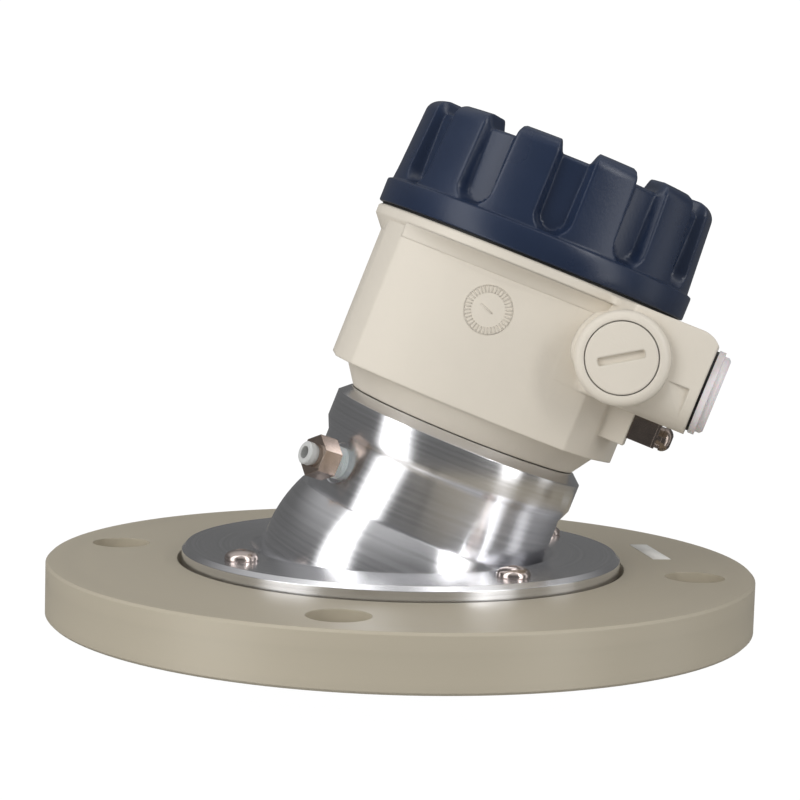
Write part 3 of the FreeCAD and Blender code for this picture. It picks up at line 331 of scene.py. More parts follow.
def place_piece(name, mesh, place, body, finish, replaces=()):
    """Puts a mesh drawn about its own origin where it belongs and lets it ride on its body."""
    mesh.transform(place)
    mesh.materials.clear()
    mesh.materials.append(finish)
    mesh.polygons.foreach_set("use_smooth", [True] * len(mesh.polygons))
    piece = bpy.data.objects.new(name, mesh)
    bpy.context.scene.collection.objects.link(piece)
    split = piece.modifiers.new("sharp edges", "EDGE_SPLIT")
    split.split_angle = SHARP_ANGLE
    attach(piece, body)
    if replaces:
        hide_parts(*replaces)
    return piece


def place_casting(name, mesh, replaces=()):
    """A piece of the housing's casting, drawn in the housing's own frame."""
    place_piece(name, mesh, HOUSING, "housing", FINISHES["housing_paint"],
                replaces)


def join_rings(shape, rings, steps):
    """Faces from each ring of corners to the next; a ring of one corner is a tip."""
    for lower, upper in zip(rings, rings[1:]):
        for i in range(steps):
            j = (i + 1) % steps
            corners = [lower[i % len(lower)], lower[j % len(lower)],
                       upper[j % len(upper)], upper[i % len(upper)]]
            kept = [c for k, c in enumerate(corners) if c not in corners[:k]]
            if len(kept) > 2:
                shape.faces.new(kept)
    bmesh.ops.recalc_face_normals(shape, faces=shape.faces)


def lathed(outline, steps=48):
    """A mesh turned about Z from an outline of (radius, height) in millimetres, closed on the
    axis where the outline reaches it."""
    shape = bmesh.new()
    rows = []
    for radius, height in outline:
        if radius < 1e-6:
            rows.append([shape.verts.new((0, 0, height * MM))])
            continue
        turn = 2 * math.pi / steps
        rows.append([shape.verts.new((radius * MM * math.cos(i * turn),
                                      radius * MM * math.sin(i * turn), height * MM))
                     for i in range(steps)])
    if len(rows[0]) > 1:
        rows.append(rows[0])
    join_rings(shape, rows, steps)
    return mesh_of(shape, "turned")


def block(size, centre=(0, 0, 0), bevel=0.0, taper=1.0):
    """A box in millimetres with bevelled edges; taper narrows its lower end."""
    shape = bmesh.new()
    bmesh.ops.create_cube(shape, size=1.0)
    for corner in shape.verts:
        narrow = taper if corner.co.z < 0 else 1.0
        corner.co = Vector((corner.co.x * size[0] * narrow + centre[0],
                            corner.co.y * size[1] * narrow + centre[1],
                            corner.co.z * size[2] + centre[2])) * MM
    if bevel:
        bmesh.ops.bevel(shape, geom=shape.edges[:], offset=bevel * MM, segments=2, profile=0.5,
                        affect="EDGES")
    return mesh_of(shape, "block")


def cut_with(mesh, tools):
    """The mesh with each tool's mesh taken out of it."""
    base = bpy.data.objects.new("base", mesh)
    bpy.context.scene.collection.objects.link(base)
    helpers = []
    for tool in tools:
        helper = bpy.data.objects.new("tool", tool)
        bpy.context.scene.collection.objects.link(helper)
        cut = base.modifiers.new("cut", "BOOLEAN")
        cut.object = helper
        cut.solver = "EXACT"
        helpers.append(helper)
    bpy.context.view_layer.update()
    result = bpy.data.meshes.new_from_object(base.evaluated_get(
        bpy.context.evaluated_depsgraph_get()))
    for helper in helpers + [base]:
        bpy.data.objects.remove(helper)
    return result


# A ring of equal pieces, as a node tree with named inputs
def ring_tree():
    tree = bpy.data.node_groups.new("ring of pieces", "GeometryNodeTree")
    sockets = (("Geometry", "Geometry"), ("Piece", "Object"), ("Count", "Int"),
               ("Radius", "Float"), ("Turn", "Float"), ("Finish", "Material"))
    for label, kind in sockets:
        tree.interface.new_socket(label, in_out="INPUT", socket_type="NodeSocket" + kind)
    tree.interface.new_socket("Geometry", in_out="OUTPUT", socket_type="NodeSocketGeometry")
    given, result = tree.nodes.new("NodeGroupInput"), tree.nodes.new("NodeGroupOutput")
    spots = given.outputs
    index = tree.nodes.new("GeometryNodeInputIndex").outputs[0]
    step = maths(tree, "DIVIDE", 2 * math.pi, spots["Count"])
    angle = maths(tree, "ADD", maths(tree, "MULTIPLY", index, step), spots["Turn"])
    spot = node(tree, "ShaderNodeCombineXYZ")
    for place, turned in enumerate(("COSINE", "SINE")):
        feed(tree, spot.inputs[place], maths(tree, "MULTIPLY", spots["Radius"],
                                             maths(tree, turned, angle)))
    facing = node(tree, "ShaderNodeCombineXYZ", Z=angle)
    turn = tree.nodes.new("FunctionNodeEulerToRotation")
    feed(tree, turn.inputs[0], facing.outputs[0])
    points = tree.nodes.new("GeometryNodePoints")
    feed(tree, points.inputs["Count"], spots["Count"])
    feed(tree, points.inputs["Position"], spot.outputs[0])
    piece = tree.nodes.new("GeometryNodeObjectInfo")
    feed(tree, piece.inputs["Object"], spots["Piece"])
    copies = tree.nodes.new("GeometryNodeInstanceOnPoints")
    feed(tree, copies.inputs["Points"], points.outputs[0])
    feed(tree, copies.inputs["Instance"], piece.outputs["Geometry"])
    feed(tree, copies.inputs["Rotation"], turn.outputs[0])
    real = tree.nodes.new("GeometryNodeRealizeInstances")
    feed(tree, real.inputs[0], copies.outputs[0])
    painted = tree.nodes.new("GeometryNodeSetMaterial")
    feed(tree, painted.inputs["Geometry"], real.outputs[0])
    feed(tree, painted.inputs["Material"], spots["Finish"])
    feed(tree, result.inputs[0], painted.outputs[0])
    return tree


RING = ring_tree()


def ring_mesh(mesh, count, radius, turn, finish):
    """The mesh repeated round Z: radius in millimetres, turn of the first one in degrees."""
    piece = bpy.data.objects.new("one of a ring", mesh)
    holder = bpy.data.objects.new("ring", bpy.data.meshes.new("ring"))
    for helper in (piece, holder):
        bpy.context.scene.collection.objects.link(helper)
    modifier = holder.modifiers.new("ring", "NODES")
    modifier.node_group = RING
    values = {"Piece": piece, "Count": count, "Radius": radius * MM,
              "Turn": math.radians(turn), "Finish": finish}
    for item in RING.interface.items_tree:
        if item.in_out == "INPUT" and item.name in values:
            modifier[item.identifier] = values[item.name]
    bpy.context.view_layer.update()
    result = bpy.data.meshes.new_from_object(holder.evaluated_get(
        bpy.context.evaluated_depsgraph_get()))
    for helper in (piece, holder):
        bpy.data.objects.remove(helper)
    return result


# Screws of the clamp disc: pan heads with a cross recess
SCREW_HEAD_MM, SCREW_RISE_MM, SCREW_RIM_MM = 5.25, 3.3, 0.9
SCREW_SHANK_MM, SCREW_DEPTH_MM = 2.5, 3.0
RECESS_MM, RECESS_TAPER = (5.0, 1.05, 2.6), 0.45
CLAMP_SCREWS, CLAMP_CIRCLE_MM, CLAMP_TURN = 4, 60.0, 31.3


def pan_head():
    dome = SCREW_RISE_MM - SCREW_RIM_MM
    crown = [(SCREW_HEAD_MM * math.cos(a), SCREW_RIM_MM + dome * math.sin(a))
             for a in (math.radians(k) for k in (0, 14, 28, 42, 56, 70, 82))]
    outline = [(0, -SCREW_DEPTH_MM), (SCREW_SHANK_MM, -SCREW_DEPTH_MM), (SCREW_SHANK_MM, 0.0),
               (SCREW_HEAD_MM - 0.2, 0.0), (SCREW_HEAD_MM, 0.25)] + crown + [(0, SCREW_RISE_MM)]
    length, width, depth = RECESS_MM
    middle = (0, 0, SCREW_RISE_MM - 0.6)
    arms = [block((length, width, depth), middle, taper=RECESS_TAPER),
            block((width, length, depth), middle, taper=RECESS_TAPER)]
    return cut_with(lathed(outline, steps=40), arms)


def clamp_screws():
    finish = FINISHES["screw_steel"]
    screws = ring_mesh(pan_head(), CLAMP_SCREWS, CLAMP_CIRCLE_MM, CLAMP_TURN, finish)
    place_piece("clamp_screw_heads", screws, Matrix.Translation((0, 0, DISC_TOP)), "flange",
                finish, ["clamp_screws"])


# Casting's date clock on the front panel: ring, radial ticks and an arrow
CLOCK_SIDE_MM, CLOCK_HEIGHT_MM = -1.0, 93.5
CLOCK_RIM_MM, CLOCK_RIM_ROUND_MM = 7.45, 0.22
CLOCK_TICKS, TICK_CIRCLE_MM, TICK_MM = 36, 6.4, (2.3, 0.45, 0.5)
HAND_MM, HAND_TURN, RELIEF_BEVEL_MM = (4.6, 0.5, 0.45), -20, 0.12
PANEL_DEPTH_MM, PANEL_BOW_MM = 45.0, 93.5


def panel_depth(side):
    return PANEL_DEPTH_MM - (PANEL_BOW_MM - math.sqrt(PANEL_BOW_MM ** 2 - side ** 2))


def bend_to_panel(mesh):
    """Wraps a flat relief, drawn in X and Y, onto the bowed front panel."""
    for corner in mesh.vertices:
        side = corner.co.x / MM + CLOCK_SIDE_MM
        corner.co = Vector((side, -(panel_depth(side) + corner.co.z / MM),
                            corner.co.y / MM + CLOCK_HEIGHT_MM)) * MM
    return mesh


def date_clock():
    tick = block(TICK_MM, bevel=RELIEF_BEVEL_MM)
    ticks = ring_mesh(tick, CLOCK_TICKS, TICK_CIRCLE_MM, 0, FINISHES["housing_paint"])
    place_casting("clock_ticks", bend_to_panel(ticks))
    rim = [(CLOCK_RIM_MM + CLOCK_RIM_ROUND_MM * math.cos(a), CLOCK_RIM_ROUND_MM * math.sin(a))
           for a in (2 * math.pi * k / 8 for k in range(8))]
    place_casting("clock_rim", bend_to_panel(lathed(rim, 64)))
    hand = block(HAND_MM, (-0.6, 0, 0), bevel=RELIEF_BEVEL_MM)
    hand.transform(Matrix.Rotation(math.radians(HAND_TURN), 4, "Z"))
    place_casting("clock_hand", bend_to_panel(hand))


# Blank strip of label on the flange, beside a bolt hole
LABEL_CENTRE_MM, LABEL_TURN = (86.6, 24.2), -84.2
LABEL_SIZE_MM = (29.4, 6.2, 0.12)


def flange_label():
    strip = block(LABEL_SIZE_MM, bevel=0.04)
    side, back = LABEL_CENTRE_MM
    height = FLANGE_TOP + LABEL_SIZE_MM[2] / 2 * MM
    place = (Matrix.Translation((side * MM, back * MM, height))
             @ Matrix.Rotation(math.radians(LABEL_TURN), 4, "Z"))
    place_piece("flange_label", strip, place, "flange", LABEL_WHITE)


# Air fitting: tape wound on its thread
PURGE_TURN, PURGE_HEIGHT_MM = -150.0, 31.2
TAPE_FROM_MM, TAPE_TO_MM = 39.8, 43.5
TAPE_INNER_MM, TAPE_OUTER_MM, TAPE_TURNS, TAPE_POINTS = 4.86, 5.0, 5, 4
PURGE = (HEAD @ Matrix.Translation((0, 0, PURGE_HEIGHT_MM * MM))
         @ Matrix.Rotation(math.radians(PURGE_TURN), 4, "Z")
         @ Matrix.Rotation(math.pi / 2, 4, "Y"))


def thread_tape():
    rows = [(TAPE_INNER_MM, TAPE_FROM_MM)]
    steps = TAPE_TURNS * TAPE_POINTS
    for k in range(steps + 1):
        lap = 0.12 * math.cos(2 * math.pi * k / TAPE_POINTS) + 0.05 * math.sin(1.7 * k)
        rows.append((TAPE_OUTER_MM + lap, TAPE_FROM_MM + (TAPE_TO_MM - TAPE_FROM_MM) * k / steps))
    rows.append((TAPE_INNER_MM, TAPE_TO_MM))
    place_piece("thread_tape", lathed(rows, 36), PURGE, "head", FINISHES["thread_tape"],
                ["purge_tape"])


# Male thread on the housing's collar, seen when the lid is turned up
COLLAR_RADIUS_MM, COLLAR_FROM_MM = 45.2, 113.7
THREAD_PITCH_MM, THREAD_TURNS, TURN_STEPS, RUN_OUT_STEPS = 2.0, 2, 72, 8
THREAD_SECTION = ((-0.05, -0.7), (0.24, -0.15), (0.24, 0.15), (-0.05, 0.7))


def collar_thread():
    shape = bmesh.new()
    steps = TURN_STEPS * THREAD_TURNS
    rows = []
    for i in range(steps + 1):
        angle = 2 * math.pi * i / TURN_STEPS
        fade = min(1.0, i / RUN_OUT_STEPS, (steps - i) / RUN_OUT_STEPS)
        middle = COLLAR_FROM_MM + THREAD_PITCH_MM * i / TURN_STEPS
        rows.append([])
        for out, rise in THREAD_SECTION:
            radius = COLLAR_RADIUS_MM + (out * fade if out > 0 else out)
            rows[-1].append(shape.verts.new((radius * MM * math.cos(angle),
                                             radius * MM * math.sin(angle), (middle + rise) * MM)))
    for lower, upper in zip(rows, rows[1:]):
        for k in range(4):
            shape.faces.new((lower[k], upper[k], upper[(k + 1) % 4], lower[(k + 1) % 4]))
    shape.faces.new(rows[0])
    shape.faces.new(list(reversed(rows[-1])))
    bmesh.ops.recalc_face_normals(shape, faces=shape.faces)
    place_casting("collar_thread", mesh_of(shape, "thread"))


# Lid: twelve flutes cut through its wall and its raised crown, every edge rounded. Its outlines
# are radius and height: the rim's from its lower corner, the crown's from the lid's top.
LID = HEAD @ Matrix.Rotation(math.radians(-5), 4, "Z")
LID_FLUTES = 12
LID_RIM_MM, LID_LOW_MM = 52.5, 113.0
LID_FOOT_MM, LID_HEAD_MM = 51.0, 49.5
LID_TOP_MM, LID_SHOULDER_MM, LID_PLATE_MM = 149.3, 4.5, 145.3
FLUTE_HALF_MM, FLUTE_FLOOR_MM, FLUTE_LOW_MM, FLUTE_ROUND_MM = 5.25, 46.4, 121.6, 1.5
LID_EDGE_MM = 1.0
LID_INSIDE = [(0, 141.3), (42.3, 141.3), (42.3, 119.2), (45.5, 119.2), (45.5, LID_LOW_MM)]
RIM_OUTLINE = [(-0.5, 0.0), (-0.15, 0.15), (0, 0.5), (0, 4.0), (0, 7.2), (-0.15, 7.65),
               (-0.5, 7.85), (-1.2, 8.1), (-1.45, 8.35)]
CROWN_OUTLINE = [(44, 0), (42, 0), (40, 0), (39, 0), (38.5, -0.05), (38.15, -0.3), (38.02, -0.8),
                 (38.0, -2.4), (37.9, -3.5), (37.6, -3.95)]
PLATE_RADII_MM = (37.0, 30.0, 15.0, 0)
# Rows are close where a flute's round end is, columns where a flute's edges are
ROUND_END_STEP_MM, ROUND_END_STEPS, WALL_STEPS, CORNER_STEPS = 0.35, 22, 9, 10
COLUMN_RADIUS_MM = 49
COLUMNS_MM = [0, 1.2, 2.4] + [3.6 + 0.45 * i for i in range(11)] + [9.3, 10.6, 11.8]


def eased(value, low, high):
    part = min(max((value - low) / (high - low), 0.0), 1.0)
    return part * part * (3 - 2 * part)


def corner_arc(radius, low, size, part):
    """A point on the quarter round that ends a wall at its top."""
    angle = math.pi / 2 * part
    return radius - size * (1 - math.cos(angle)), low + size * math.sin(angle)


def lid_rows():
    """Rows from the inside round the rim to the middle of the top: the point on a lobe and the
    point in a flute."""
    rows = [(spot, spot) for spot in LID_INSIDE]
    rows += [((LID_RIM_MM + out, LID_LOW_MM + up),) * 2 for out, up in RIM_OUTLINE]
    shoulder_low = LID_TOP_MM - LID_SHOULDER_MM
    floor_low = LID_PLATE_MM - FLUTE_ROUND_MM
    levels = [FLUTE_LOW_MM + ROUND_END_STEP_MM * i for i in range(ROUND_END_STEPS)]
    rest = shoulder_low - levels[-1]
    levels += [levels[-1] + rest * i / WALL_STEPS for i in range(1, WALL_STEPS + 1)]
    for level in levels:
        taper = (level - FLUTE_LOW_MM) / (shoulder_low - FLUTE_LOW_MM)
        rows.append(((LID_FOOT_MM + (LID_HEAD_MM - LID_FOOT_MM) * taper, level),
                     (FLUTE_FLOOR_MM, min(level, floor_low))))
    for i in range(1, CORNER_STEPS + 1):
        part = i / CORNER_STEPS
        rows.append((corner_arc(LID_HEAD_MM, shoulder_low, LID_SHOULDER_MM, part),
                     corner_arc(FLUTE_FLOOR_MM, floor_low, FLUTE_ROUND_MM, part)))
    rows += [((radius, LID_TOP_MM + drop), (radius, LID_PLATE_MM))
             for radius, drop in CROWN_OUTLINE]
    return rows + [((radius, LID_PLATE_MM),) * 2 for radius in PLATE_RADII_MM]


def flute_share(radius, height, turn):
    """1 in a flute, 0 on a lobe, and between them over a rounded edge."""
    round_end = FLUTE_LOW_MM + FLUTE_HALF_MM
    away = math.hypot(radius * turn, min(height - round_end, 0.0)) - FLUTE_HALF_MM
    return 1 - eased(away, -LID_EDGE_MM, LID_EDGE_MM)


def lid_cover():
    sector = 2 * math.pi / LID_FLUTES
    turns = sorted({side * x / COLUMN_RADIUS_MM for x in COLUMNS_MM for side in (-1, 1)})
    columns = [(i * sector + turn, turn) for i in range(LID_FLUTES)
               for turn in turns + [sector / 2]]
    shape = bmesh.new()
    rings = []
    for lobe, flute in lid_rows():
        if lobe[0] == 0:
            rings.append([shape.verts.new((0, 0, lobe[1] * MM))])
            continue
        ring = []
        for angle, turn in columns:
            share = flute_share(lobe[0], lobe[1], abs(turn)) if lobe != flute else 0.0
            radius, height = [a + (b - a) * share for a, b in zip(lobe, flute)]
            ring.append(shape.verts.new((radius * MM * math.cos(angle),
                                         radius * MM * math.sin(angle), height * MM)))
        rings.append(ring)
    join_rings(shape, rings, len(columns))
    place_piece("lid_cover", mesh_of(shape, "lid cover"), LID, "lid", FINISHES["lid_paint"],
                ["lid"])


# Casting round the front panel: the soft band below the bead, the cable block that starts behind
# the plug's boss, the fillet at the boss and the pocket beside it
BEAD_MM, BEAD_LOW_MM, BAND_LOW_MM = 52.12, 109.05, 104.4
BAND_PULL, BAND_DROP_MM = 0.35, 1.2
RIDGE_HALF_MM = 35.5
PANEL_LOW_MM, RIM_TOP_MM = 76.0, 112.9
ENTRY_DEPTH_MM, ENTRY_HEIGHT_MM, ENTRY_RADIUS_MM = 37.0, 94.9, 14.2
BOSS_SIDE_MM, BOSS_HEIGHT_MM, BOSS_RADIUS_MM = 42.2, 95.1, 14.3
BLEND_FROM_MM, BLEND_TO_MM = 31.0, 41.0
BEAD_TRIM_MM = 12.0
TOOL_DEPTH_MM, TOOL_GAP_MM = 66.0, 0.04
FLARE_FROM, FLARE_TO, FLARE_EASE, FLARE_MM = 100.0, 228.0, 40.0, 2.2
POCKET_SIDE_MM, POCKET_HIGH_MM = 63.8, 94.0
POCKET_SIZE_MM, POCKET_DEPTH_MM, POCKET_START_MM = (8.3, 12.0), 1.8, 0.25
POCKET_FADE_MM = (8.0, 11.0)
PLUG_SLOT_MM, PLUG_SLOT_TURN = (14.1, 3.4, 2.4), 32.6


def closed_sheet(name, columns, rows, points):
    """A solid between two grids: points gives the front and the back point, in millimetres, at
    shares from 0 to 1 across and up."""
    pairs = [[points(i / (columns - 1), k / (rows - 1)) for k in range(rows)]
             for i in range(columns)]
    shape = bmesh.new()
    grids = [[[shape.verts.new(Vector(pair[face]) * MM) for pair in row] for row in pairs]
             for face in (0, 1)]
    for grid in grids:
        for i in range(columns - 1):
            for j in range(rows - 1):
                shape.faces.new((grid[i][j], grid[i][j + 1], grid[i + 1][j + 1], grid[i + 1][j]))
    rim = ([(0, j) for j in range(rows)] + [(i, rows - 1) for i in range(1, columns)]
           + [(columns - 1, j) for j in range(rows - 2, -1, -1)]
           + [(i, 0) for i in range(columns - 2, 0, -1)])
    for a, b in zip(rim, rim[1:] + rim[:1]):
        shape.faces.new((grids[0][a[0]][a[1]], grids[0][b[0]][b[1]],
                         grids[1][b[0]][b[1]], grids[1][a[0]][a[1]]))
    bmesh.ops.recalc_face_normals(shape, faces=shape.faces)
    return mesh_of(shape, name)


def bowed(part, first, pull, last):
    return (1 - part) ** 2 * first + 2 * part * (1 - part) * pull + part ** 2 * last


def bead_blend():
    def points(across, up):
        side = RIDGE_HALF_MM * (2 * across - 1)
        depth = panel_depth(side)
        reach = math.hypot(side, depth)
        way = (side / reach, -depth / reach)
        out = bowed(up, reach + 0.03, reach + BAND_PULL * (BEAD_MM - reach), BEAD_MM)
        height = bowed(up, BAND_LOW_MM, BEAD_LOW_MM - BAND_DROP_MM, BEAD_LOW_MM)
        return [(way[0] * radius, way[1] * radius, height) for radius in (out, reach - 1)]

    place_casting("bead_blend", closed_sheet("bead blend", 49, 8, points))


def entry_face(height):
    """Depth of the cable block's face, which is round below its middle."""
    below = min(height - ENTRY_HEIGHT_MM, 0.0)
    return ENTRY_DEPTH_MM + math.sqrt(max(ENTRY_RADIUS_MM ** 2 - below ** 2, 0.0))


def block_rise(side, height, base):
    """How far the cable block's face stands before the casting, eased in behind the boss."""
    return max(entry_face(height) - base, 0.0) * eased(side, BLEND_FROM_MM, BLEND_TO_MM)


def drawn_copy(name, place):
    """A welded copy of a drawn solid's mesh, brought back to its own origin."""
    shape = bmesh.new()
    shape.from_mesh(frame["nodes"][name].data)
    bmesh.ops.remove_doubles(shape, verts=shape.verts, dist=WELD_MM * MM)
    mesh = mesh_of(shape, name + " copy")
    mesh.transform(place.inverted())
    return mesh


def trim_tool(start, low, high, base):
    """Takes away what stands before the base depth, up to the cable block."""
    def points(across, up):
        side = start + (BLEND_TO_MM + 0.5 - start) * across
        height = low + (high - low) * up
        depth = base(side)
        depth += TOOL_GAP_MM + block_rise(side, height, depth)
        return (side, -TOOL_DEPTH_MM, height), (side, -depth, height)

    return closed_sheet("trim tool", 59, 25, points)


def boss_bar():
    radius = BOSS_RADIUS_MM + 0.03
    bar = lathed([(0, 30), (radius, 30), (radius, 70), (0, 70)], 120)
    bar.transform(Matrix.Translation(Vector((BOSS_SIDE_MM, 0, BOSS_HEIGHT_MM)) * MM)
                  @ Matrix.Rotation(math.radians(90), 4, "X"))
    return bar


def pocket_tool():
    """Deepest at its upper right corner, and fading out towards the boss and downwards."""
    def points(across, up):
        left = POCKET_SIZE_MM[0] * (1 - across)
        down = POCKET_SIZE_MM[1] * (1 - up)
        share = max(1 - left / POCKET_FADE_MM[0] - down / POCKET_FADE_MM[1], 0.0)
        side, height = POCKET_SIDE_MM - left, POCKET_HIGH_MM - down
        depth = entry_face(height) + POCKET_START_MM - POCKET_DEPTH_MM * share
        return (side, -TOOL_DEPTH_MM, height), (side, -depth, height)

    return closed_sheet("pocket tool", 17, 17, points)


def housing_casting():
    def bead_depth(side):
        return math.sqrt(BEAD_MM ** 2 - side ** 2)

    tools = [trim_tool(-RIDGE_HALF_MM + 0.1, PANEL_LOW_MM, BEAD_LOW_MM, panel_depth),
             trim_tool(BEAD_TRIM_MM, BEAD_LOW_MM - 0.05, RIM_TOP_MM, bead_depth), pocket_tool()]
    tools = [cut_with(tool, [boss_bar()]) for tool in tools]
    place_casting("housing_casting", cut_with(drawn_copy("housing", HOUSING), tools), ["housing"])


def boss_flare():
    """The casting's soft fillet where the boss stands on the front panel."""
    def points(across, up):
        turn = FLARE_FROM + (FLARE_TO - FLARE_FROM) * across
        inside = min(turn - FLARE_FROM, FLARE_TO - turn)
        size = FLARE_MM * (0.02 + 0.98 * eased(inside, 0.0, FLARE_EASE))
        way = (math.cos(math.radians(turn)), math.sin(math.radians(turn)))
        foot = BOSS_RADIUS_MM + size
        side = BOSS_SIDE_MM + foot * way[0]
        base = panel_depth(side)
        base += block_rise(side, BOSS_HEIGHT_MM + foot * way[1], base) + 0.05
        angle = math.pi / 2 * up
        radius = BOSS_RADIUS_MM - 0.05 + size * (1 - math.sin(angle))
        spot = (BOSS_SIDE_MM + radius * way[0], BOSS_HEIGHT_MM + radius * way[1])
        return ((spot[0], -(base + size * (1 - math.cos(angle))), spot[1]),
                (spot[0] - way[0] * 0.6, -(base - 1.6), spot[1] - way[1] * 0.6))

    place_casting("boss_flare", closed_sheet("boss flare", 61, 9, points))


def slotted_plug():
    plug = drawn_copy("front_plug", HOUSING)
    face = min(corner.co.y for corner in plug.vertices)
    slot = block(PLUG_SLOT_MM, bevel=0.5)
    slot.transform(Matrix.Translation(Vector((BOSS_SIDE_MM * MM, face, BOSS_HEIGHT_MM * MM)))
                   @ Matrix.Rotation(math.radians(-PLUG_SLOT_TURN), 4, "Y"))
    place_casting("slotted_plug", cut_with(plug, [slot]), ["front_plug"])


# Screw that locks the lid: set nearly flush in the cable block, with a hexagon socket
LOCK_SPOT_MM = (56.0, -27.0, 111.6)
LOCK_OUTLINE = [(0, -6.0), (1.95, -6.0), (1.95, -0.05), (2.75, 0.0), (2.9, 0.2), (2.75, 0.5),
                (0, 0.5)]
SOCKET_OUTLINE = [(0, -1.2), (1.25, -1.2), (1.25, 2.0), (0, 2.0)]


def lock_screw():
    screw = cut_with(lathed(LOCK_OUTLINE, 32), [lathed(SOCKET_OUTLINE, 6)])
    place = HOUSING @ Matrix.Translation(Vector(LOCK_SPOT_MM) * MM)
    place_piece("lock_screw", screw, place, "housing", FINISHES["screw_steel"],
                ["lid_lock_screw"])


clamp_screws()
date_clock()
flange_label()
thread_tape()
collar_thread()
lid_cover()
bead_blend()
housing_casting()
boss_flare()
slotted_plug()
lock_screw()


# Studio: white floor and surroundings, strip lights that the metal shows
# Reflected strips stand at these azimuths, with half their width and their strength
STRIPS = ((-62, 13, 2.6), (46, 9, 2.4), (88, 8, 0.8))
REFLECTED_TOP, REFLECTED_BASE = 0.5, 0.14
EVEN_LIGHT, SIDE_LIGHT = 0.58, 0.92
SEEN_WHITE, FLOOR_WHITE, FLOOR_SHARE = 1.05, 1.07, 0.93


def studio_world():
    world = bpy.data.worlds.new("studio")
    bpy.context.scene.world = world
    world.use_nodes = True
    tree = world.node_tree
    tree.nodes.clear()
    direction = node(tree, "TexCoord").outputs["Generated"]
    parts = node(tree, "SeparateXYZ", Vector=direction).outputs
    azimuth = maths(tree, "ARCTAN2", parts[0], maths(tree, "MULTIPLY", parts[1], -1.0))

    def strip(middle, half, strength):
        away = maths(tree, "ABSOLUTE", maths(tree, "SUBTRACT", azimuth, math.radians(middle)))
        return ranged(tree, away, math.radians(half * 0.6), math.radians(half * 1.5),
                      strength, 0.0, smooth=True)

    shown = ranged(tree, parts[2], 0.3, 0.9, REFLECTED_BASE, REFLECTED_BASE + REFLECTED_TOP,
                   smooth=True)
    for middle, half, strength in STRIPS:
        shown = maths(tree, "ADD", shown, strip(middle, half, strength))
    sideways = maths(tree, "ABSOLUTE", parts[0])
    even = ranged(tree, sideways, 0.2, 0.95, EVEN_LIGHT, SIDE_LIGHT, smooth=True)
    paths = node(tree, "LightPath").outputs
    soft = node(tree, "Background", Color=(0.985, 0.99, 1.0, 1.0), Strength=even)
    strips = node(tree, "Background", Color=(1.0, 1.0, 1.0, 1.0), Strength=shown)
    white = node(tree, "Background", Color=(1.0, 1.0, 1.0, 1.0), Strength=SEEN_WHITE)
    lit = node(tree, "MixShader")
    feed(tree, lit.inputs[0], paths["Is Glossy Ray"])
    feed(tree, lit.inputs[1], soft.outputs[0])
    feed(tree, lit.inputs[2], strips.outputs[0])
    mix = node(tree, "MixShader")
    feed(tree, mix.inputs[0], paths["Is Camera Ray"])
    feed(tree, mix.inputs[1], lit.outputs[0])
    feed(tree, mix.inputs[2], white.outputs[0])
    tree.links.new(mix.outputs[0], node(tree, "OutputWorld").inputs["Surface"])


def studio_floor():
    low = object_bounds()[0][2] - 0.3 * MM
    mesh = bpy.data.meshes.new("floor")
    half = 6.0
    corners = [(-half, -half, low), (half, -half, low), (half, half, low), (-half, half, low)]
    mesh.from_pydata(corners, [], [(0, 1, 2, 3)])
    floor = bpy.data.objects.new("floor", mesh)
    bpy.context.scene.collection.objects.link(floor)
    material = bpy.data.materials.new("white floor")
    material.use_nodes = True
    tree = material.node_tree
    tree.nodes.clear()
    paths = node(tree, "LightPath").outputs
    paint = node(tree, "BsdfDiffuse", Color=(0.6, 0.6, 0.6, 1.0))
    glow = node(tree, "Emission", Color=(1.0, 1.0, 1.0, 1.0), Strength=FLOOR_WHITE)
    seen = node(tree, "MixShader")
    feed(tree, seen.inputs[0], maths(tree, "MULTIPLY", paths["Is Camera Ray"], FLOOR_SHARE))
    feed(tree, seen.inputs[1], paint.outputs[0])
    feed(tree, seen.inputs[2], glow.outputs[0])
    clear = node(tree, "BsdfTransparent")
    mix = node(tree, "MixShader")
    feed(tree, mix.inputs[0], paths["Is Glossy Ray"])
    feed(tree, mix.inputs[1], seen.outputs[0])
    feed(tree, mix.inputs[2], clear.outputs[0])
    tree.links.new(mix.outputs[0], node(tree, "OutputMaterial").inputs["Surface"])
    mesh.materials.append(material)


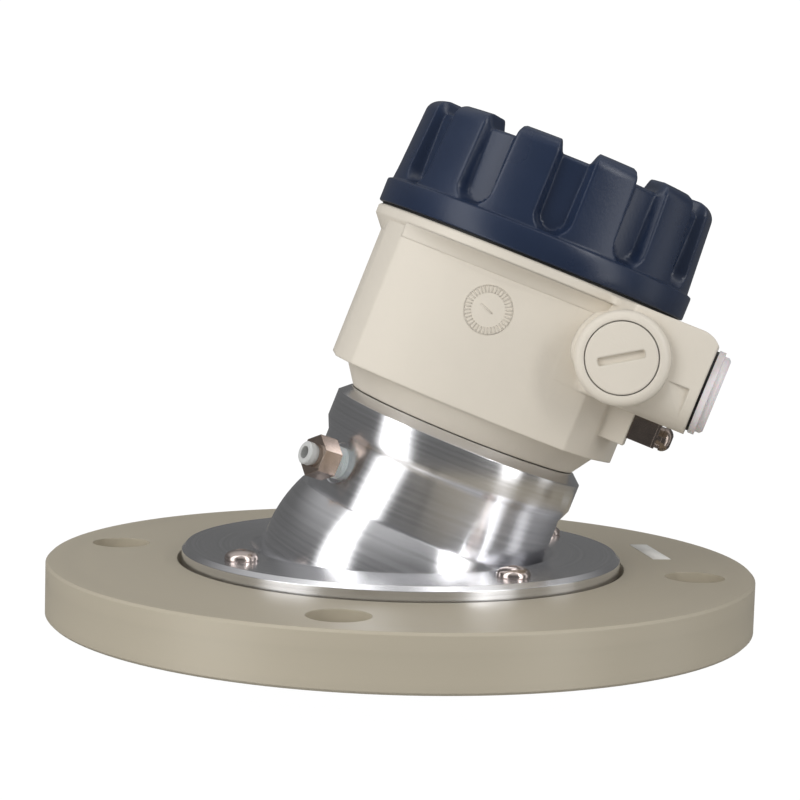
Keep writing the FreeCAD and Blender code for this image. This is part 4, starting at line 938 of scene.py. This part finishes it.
def area_lamp(name, place, size, power, mirrored=False):
    data = bpy.data.lights.new(name, "AREA")
    data.shape = "RECTANGLE"
    data.size, data.size_y = size
    data.energy = power
    lamp = bpy.data.objects.new(name, data)
    lamp.location = place
    lamp.rotation_euler = (BALL_CENTRE + HEAD_AXIS * 0.06 - Vector(place)).to_track_quat(
        "-Z", "Y").to_euler()
    lamp.visible_glossy = mirrored
    bpy.context.scene.collection.objects.link(lamp)


# Camera found from the photograph: it stands 9.9 degrees above the flange's top
DISTANCE_MM = 649.2
ELEVATION = math.radians(9.906)
YAW = math.radians(-0.155)
PITCH = math.radians(5.305)
ROLL = math.radians(1.683)
VIEW_TURN = math.radians(-3.5)
FOCAL_PIXELS = 1980.0
PHOTO_PIXELS = 800.0
SENSOR_MM = 36.0


def photo_camera():
    eye = Vector((0, -DISTANCE_MM * math.cos(ELEVATION), DISTANCE_MM * math.sin(ELEVATION))) * MM
    ahead = Vector((math.sin(YAW) * math.cos(PITCH), math.cos(YAW) * math.cos(PITCH),
                    -math.sin(PITCH)))
    right = ahead.cross(UP).normalized()
    top = right.cross(ahead)
    side = right * math.cos(ROLL) + top * math.sin(ROLL)
    rise = top * math.cos(ROLL) - right * math.sin(ROLL)
    turn = Matrix.Rotation(VIEW_TURN, 3, "Z")
    axes = [turn @ axis for axis in (side, rise, -ahead)]
    place = turn @ eye + Vector((0, 0, FLANGE_TOP))
    data = bpy.data.cameras.new("photo camera")
    data.sensor_width = SENSOR_MM
    data.lens = FOCAL_PIXELS / PHOTO_PIXELS * SENSOR_MM
    camera = bpy.data.objects.new("photo camera", data)
    matrix = Matrix.Identity(4)
    for column, axis in enumerate(axes):
        for row in range(3):
            matrix[row][column] = axis[row]
    for row in range(3):
        matrix[row][3] = place[row]
    camera.matrix_world = matrix
    bpy.context.scene.collection.objects.link(camera)
    bpy.context.scene.camera = camera


studio_world()
studio_floor()
area_lamp("key", (-0.72, -0.7, 0.5), (0.6, 0.6), 4.2)
area_lamp("fill", (0.62, -0.85, 0.45), (0.2, 0.42), 1.7, mirrored=True)
photo_camera()
bpy.context.scene.view_settings.view_transform = "Standard"
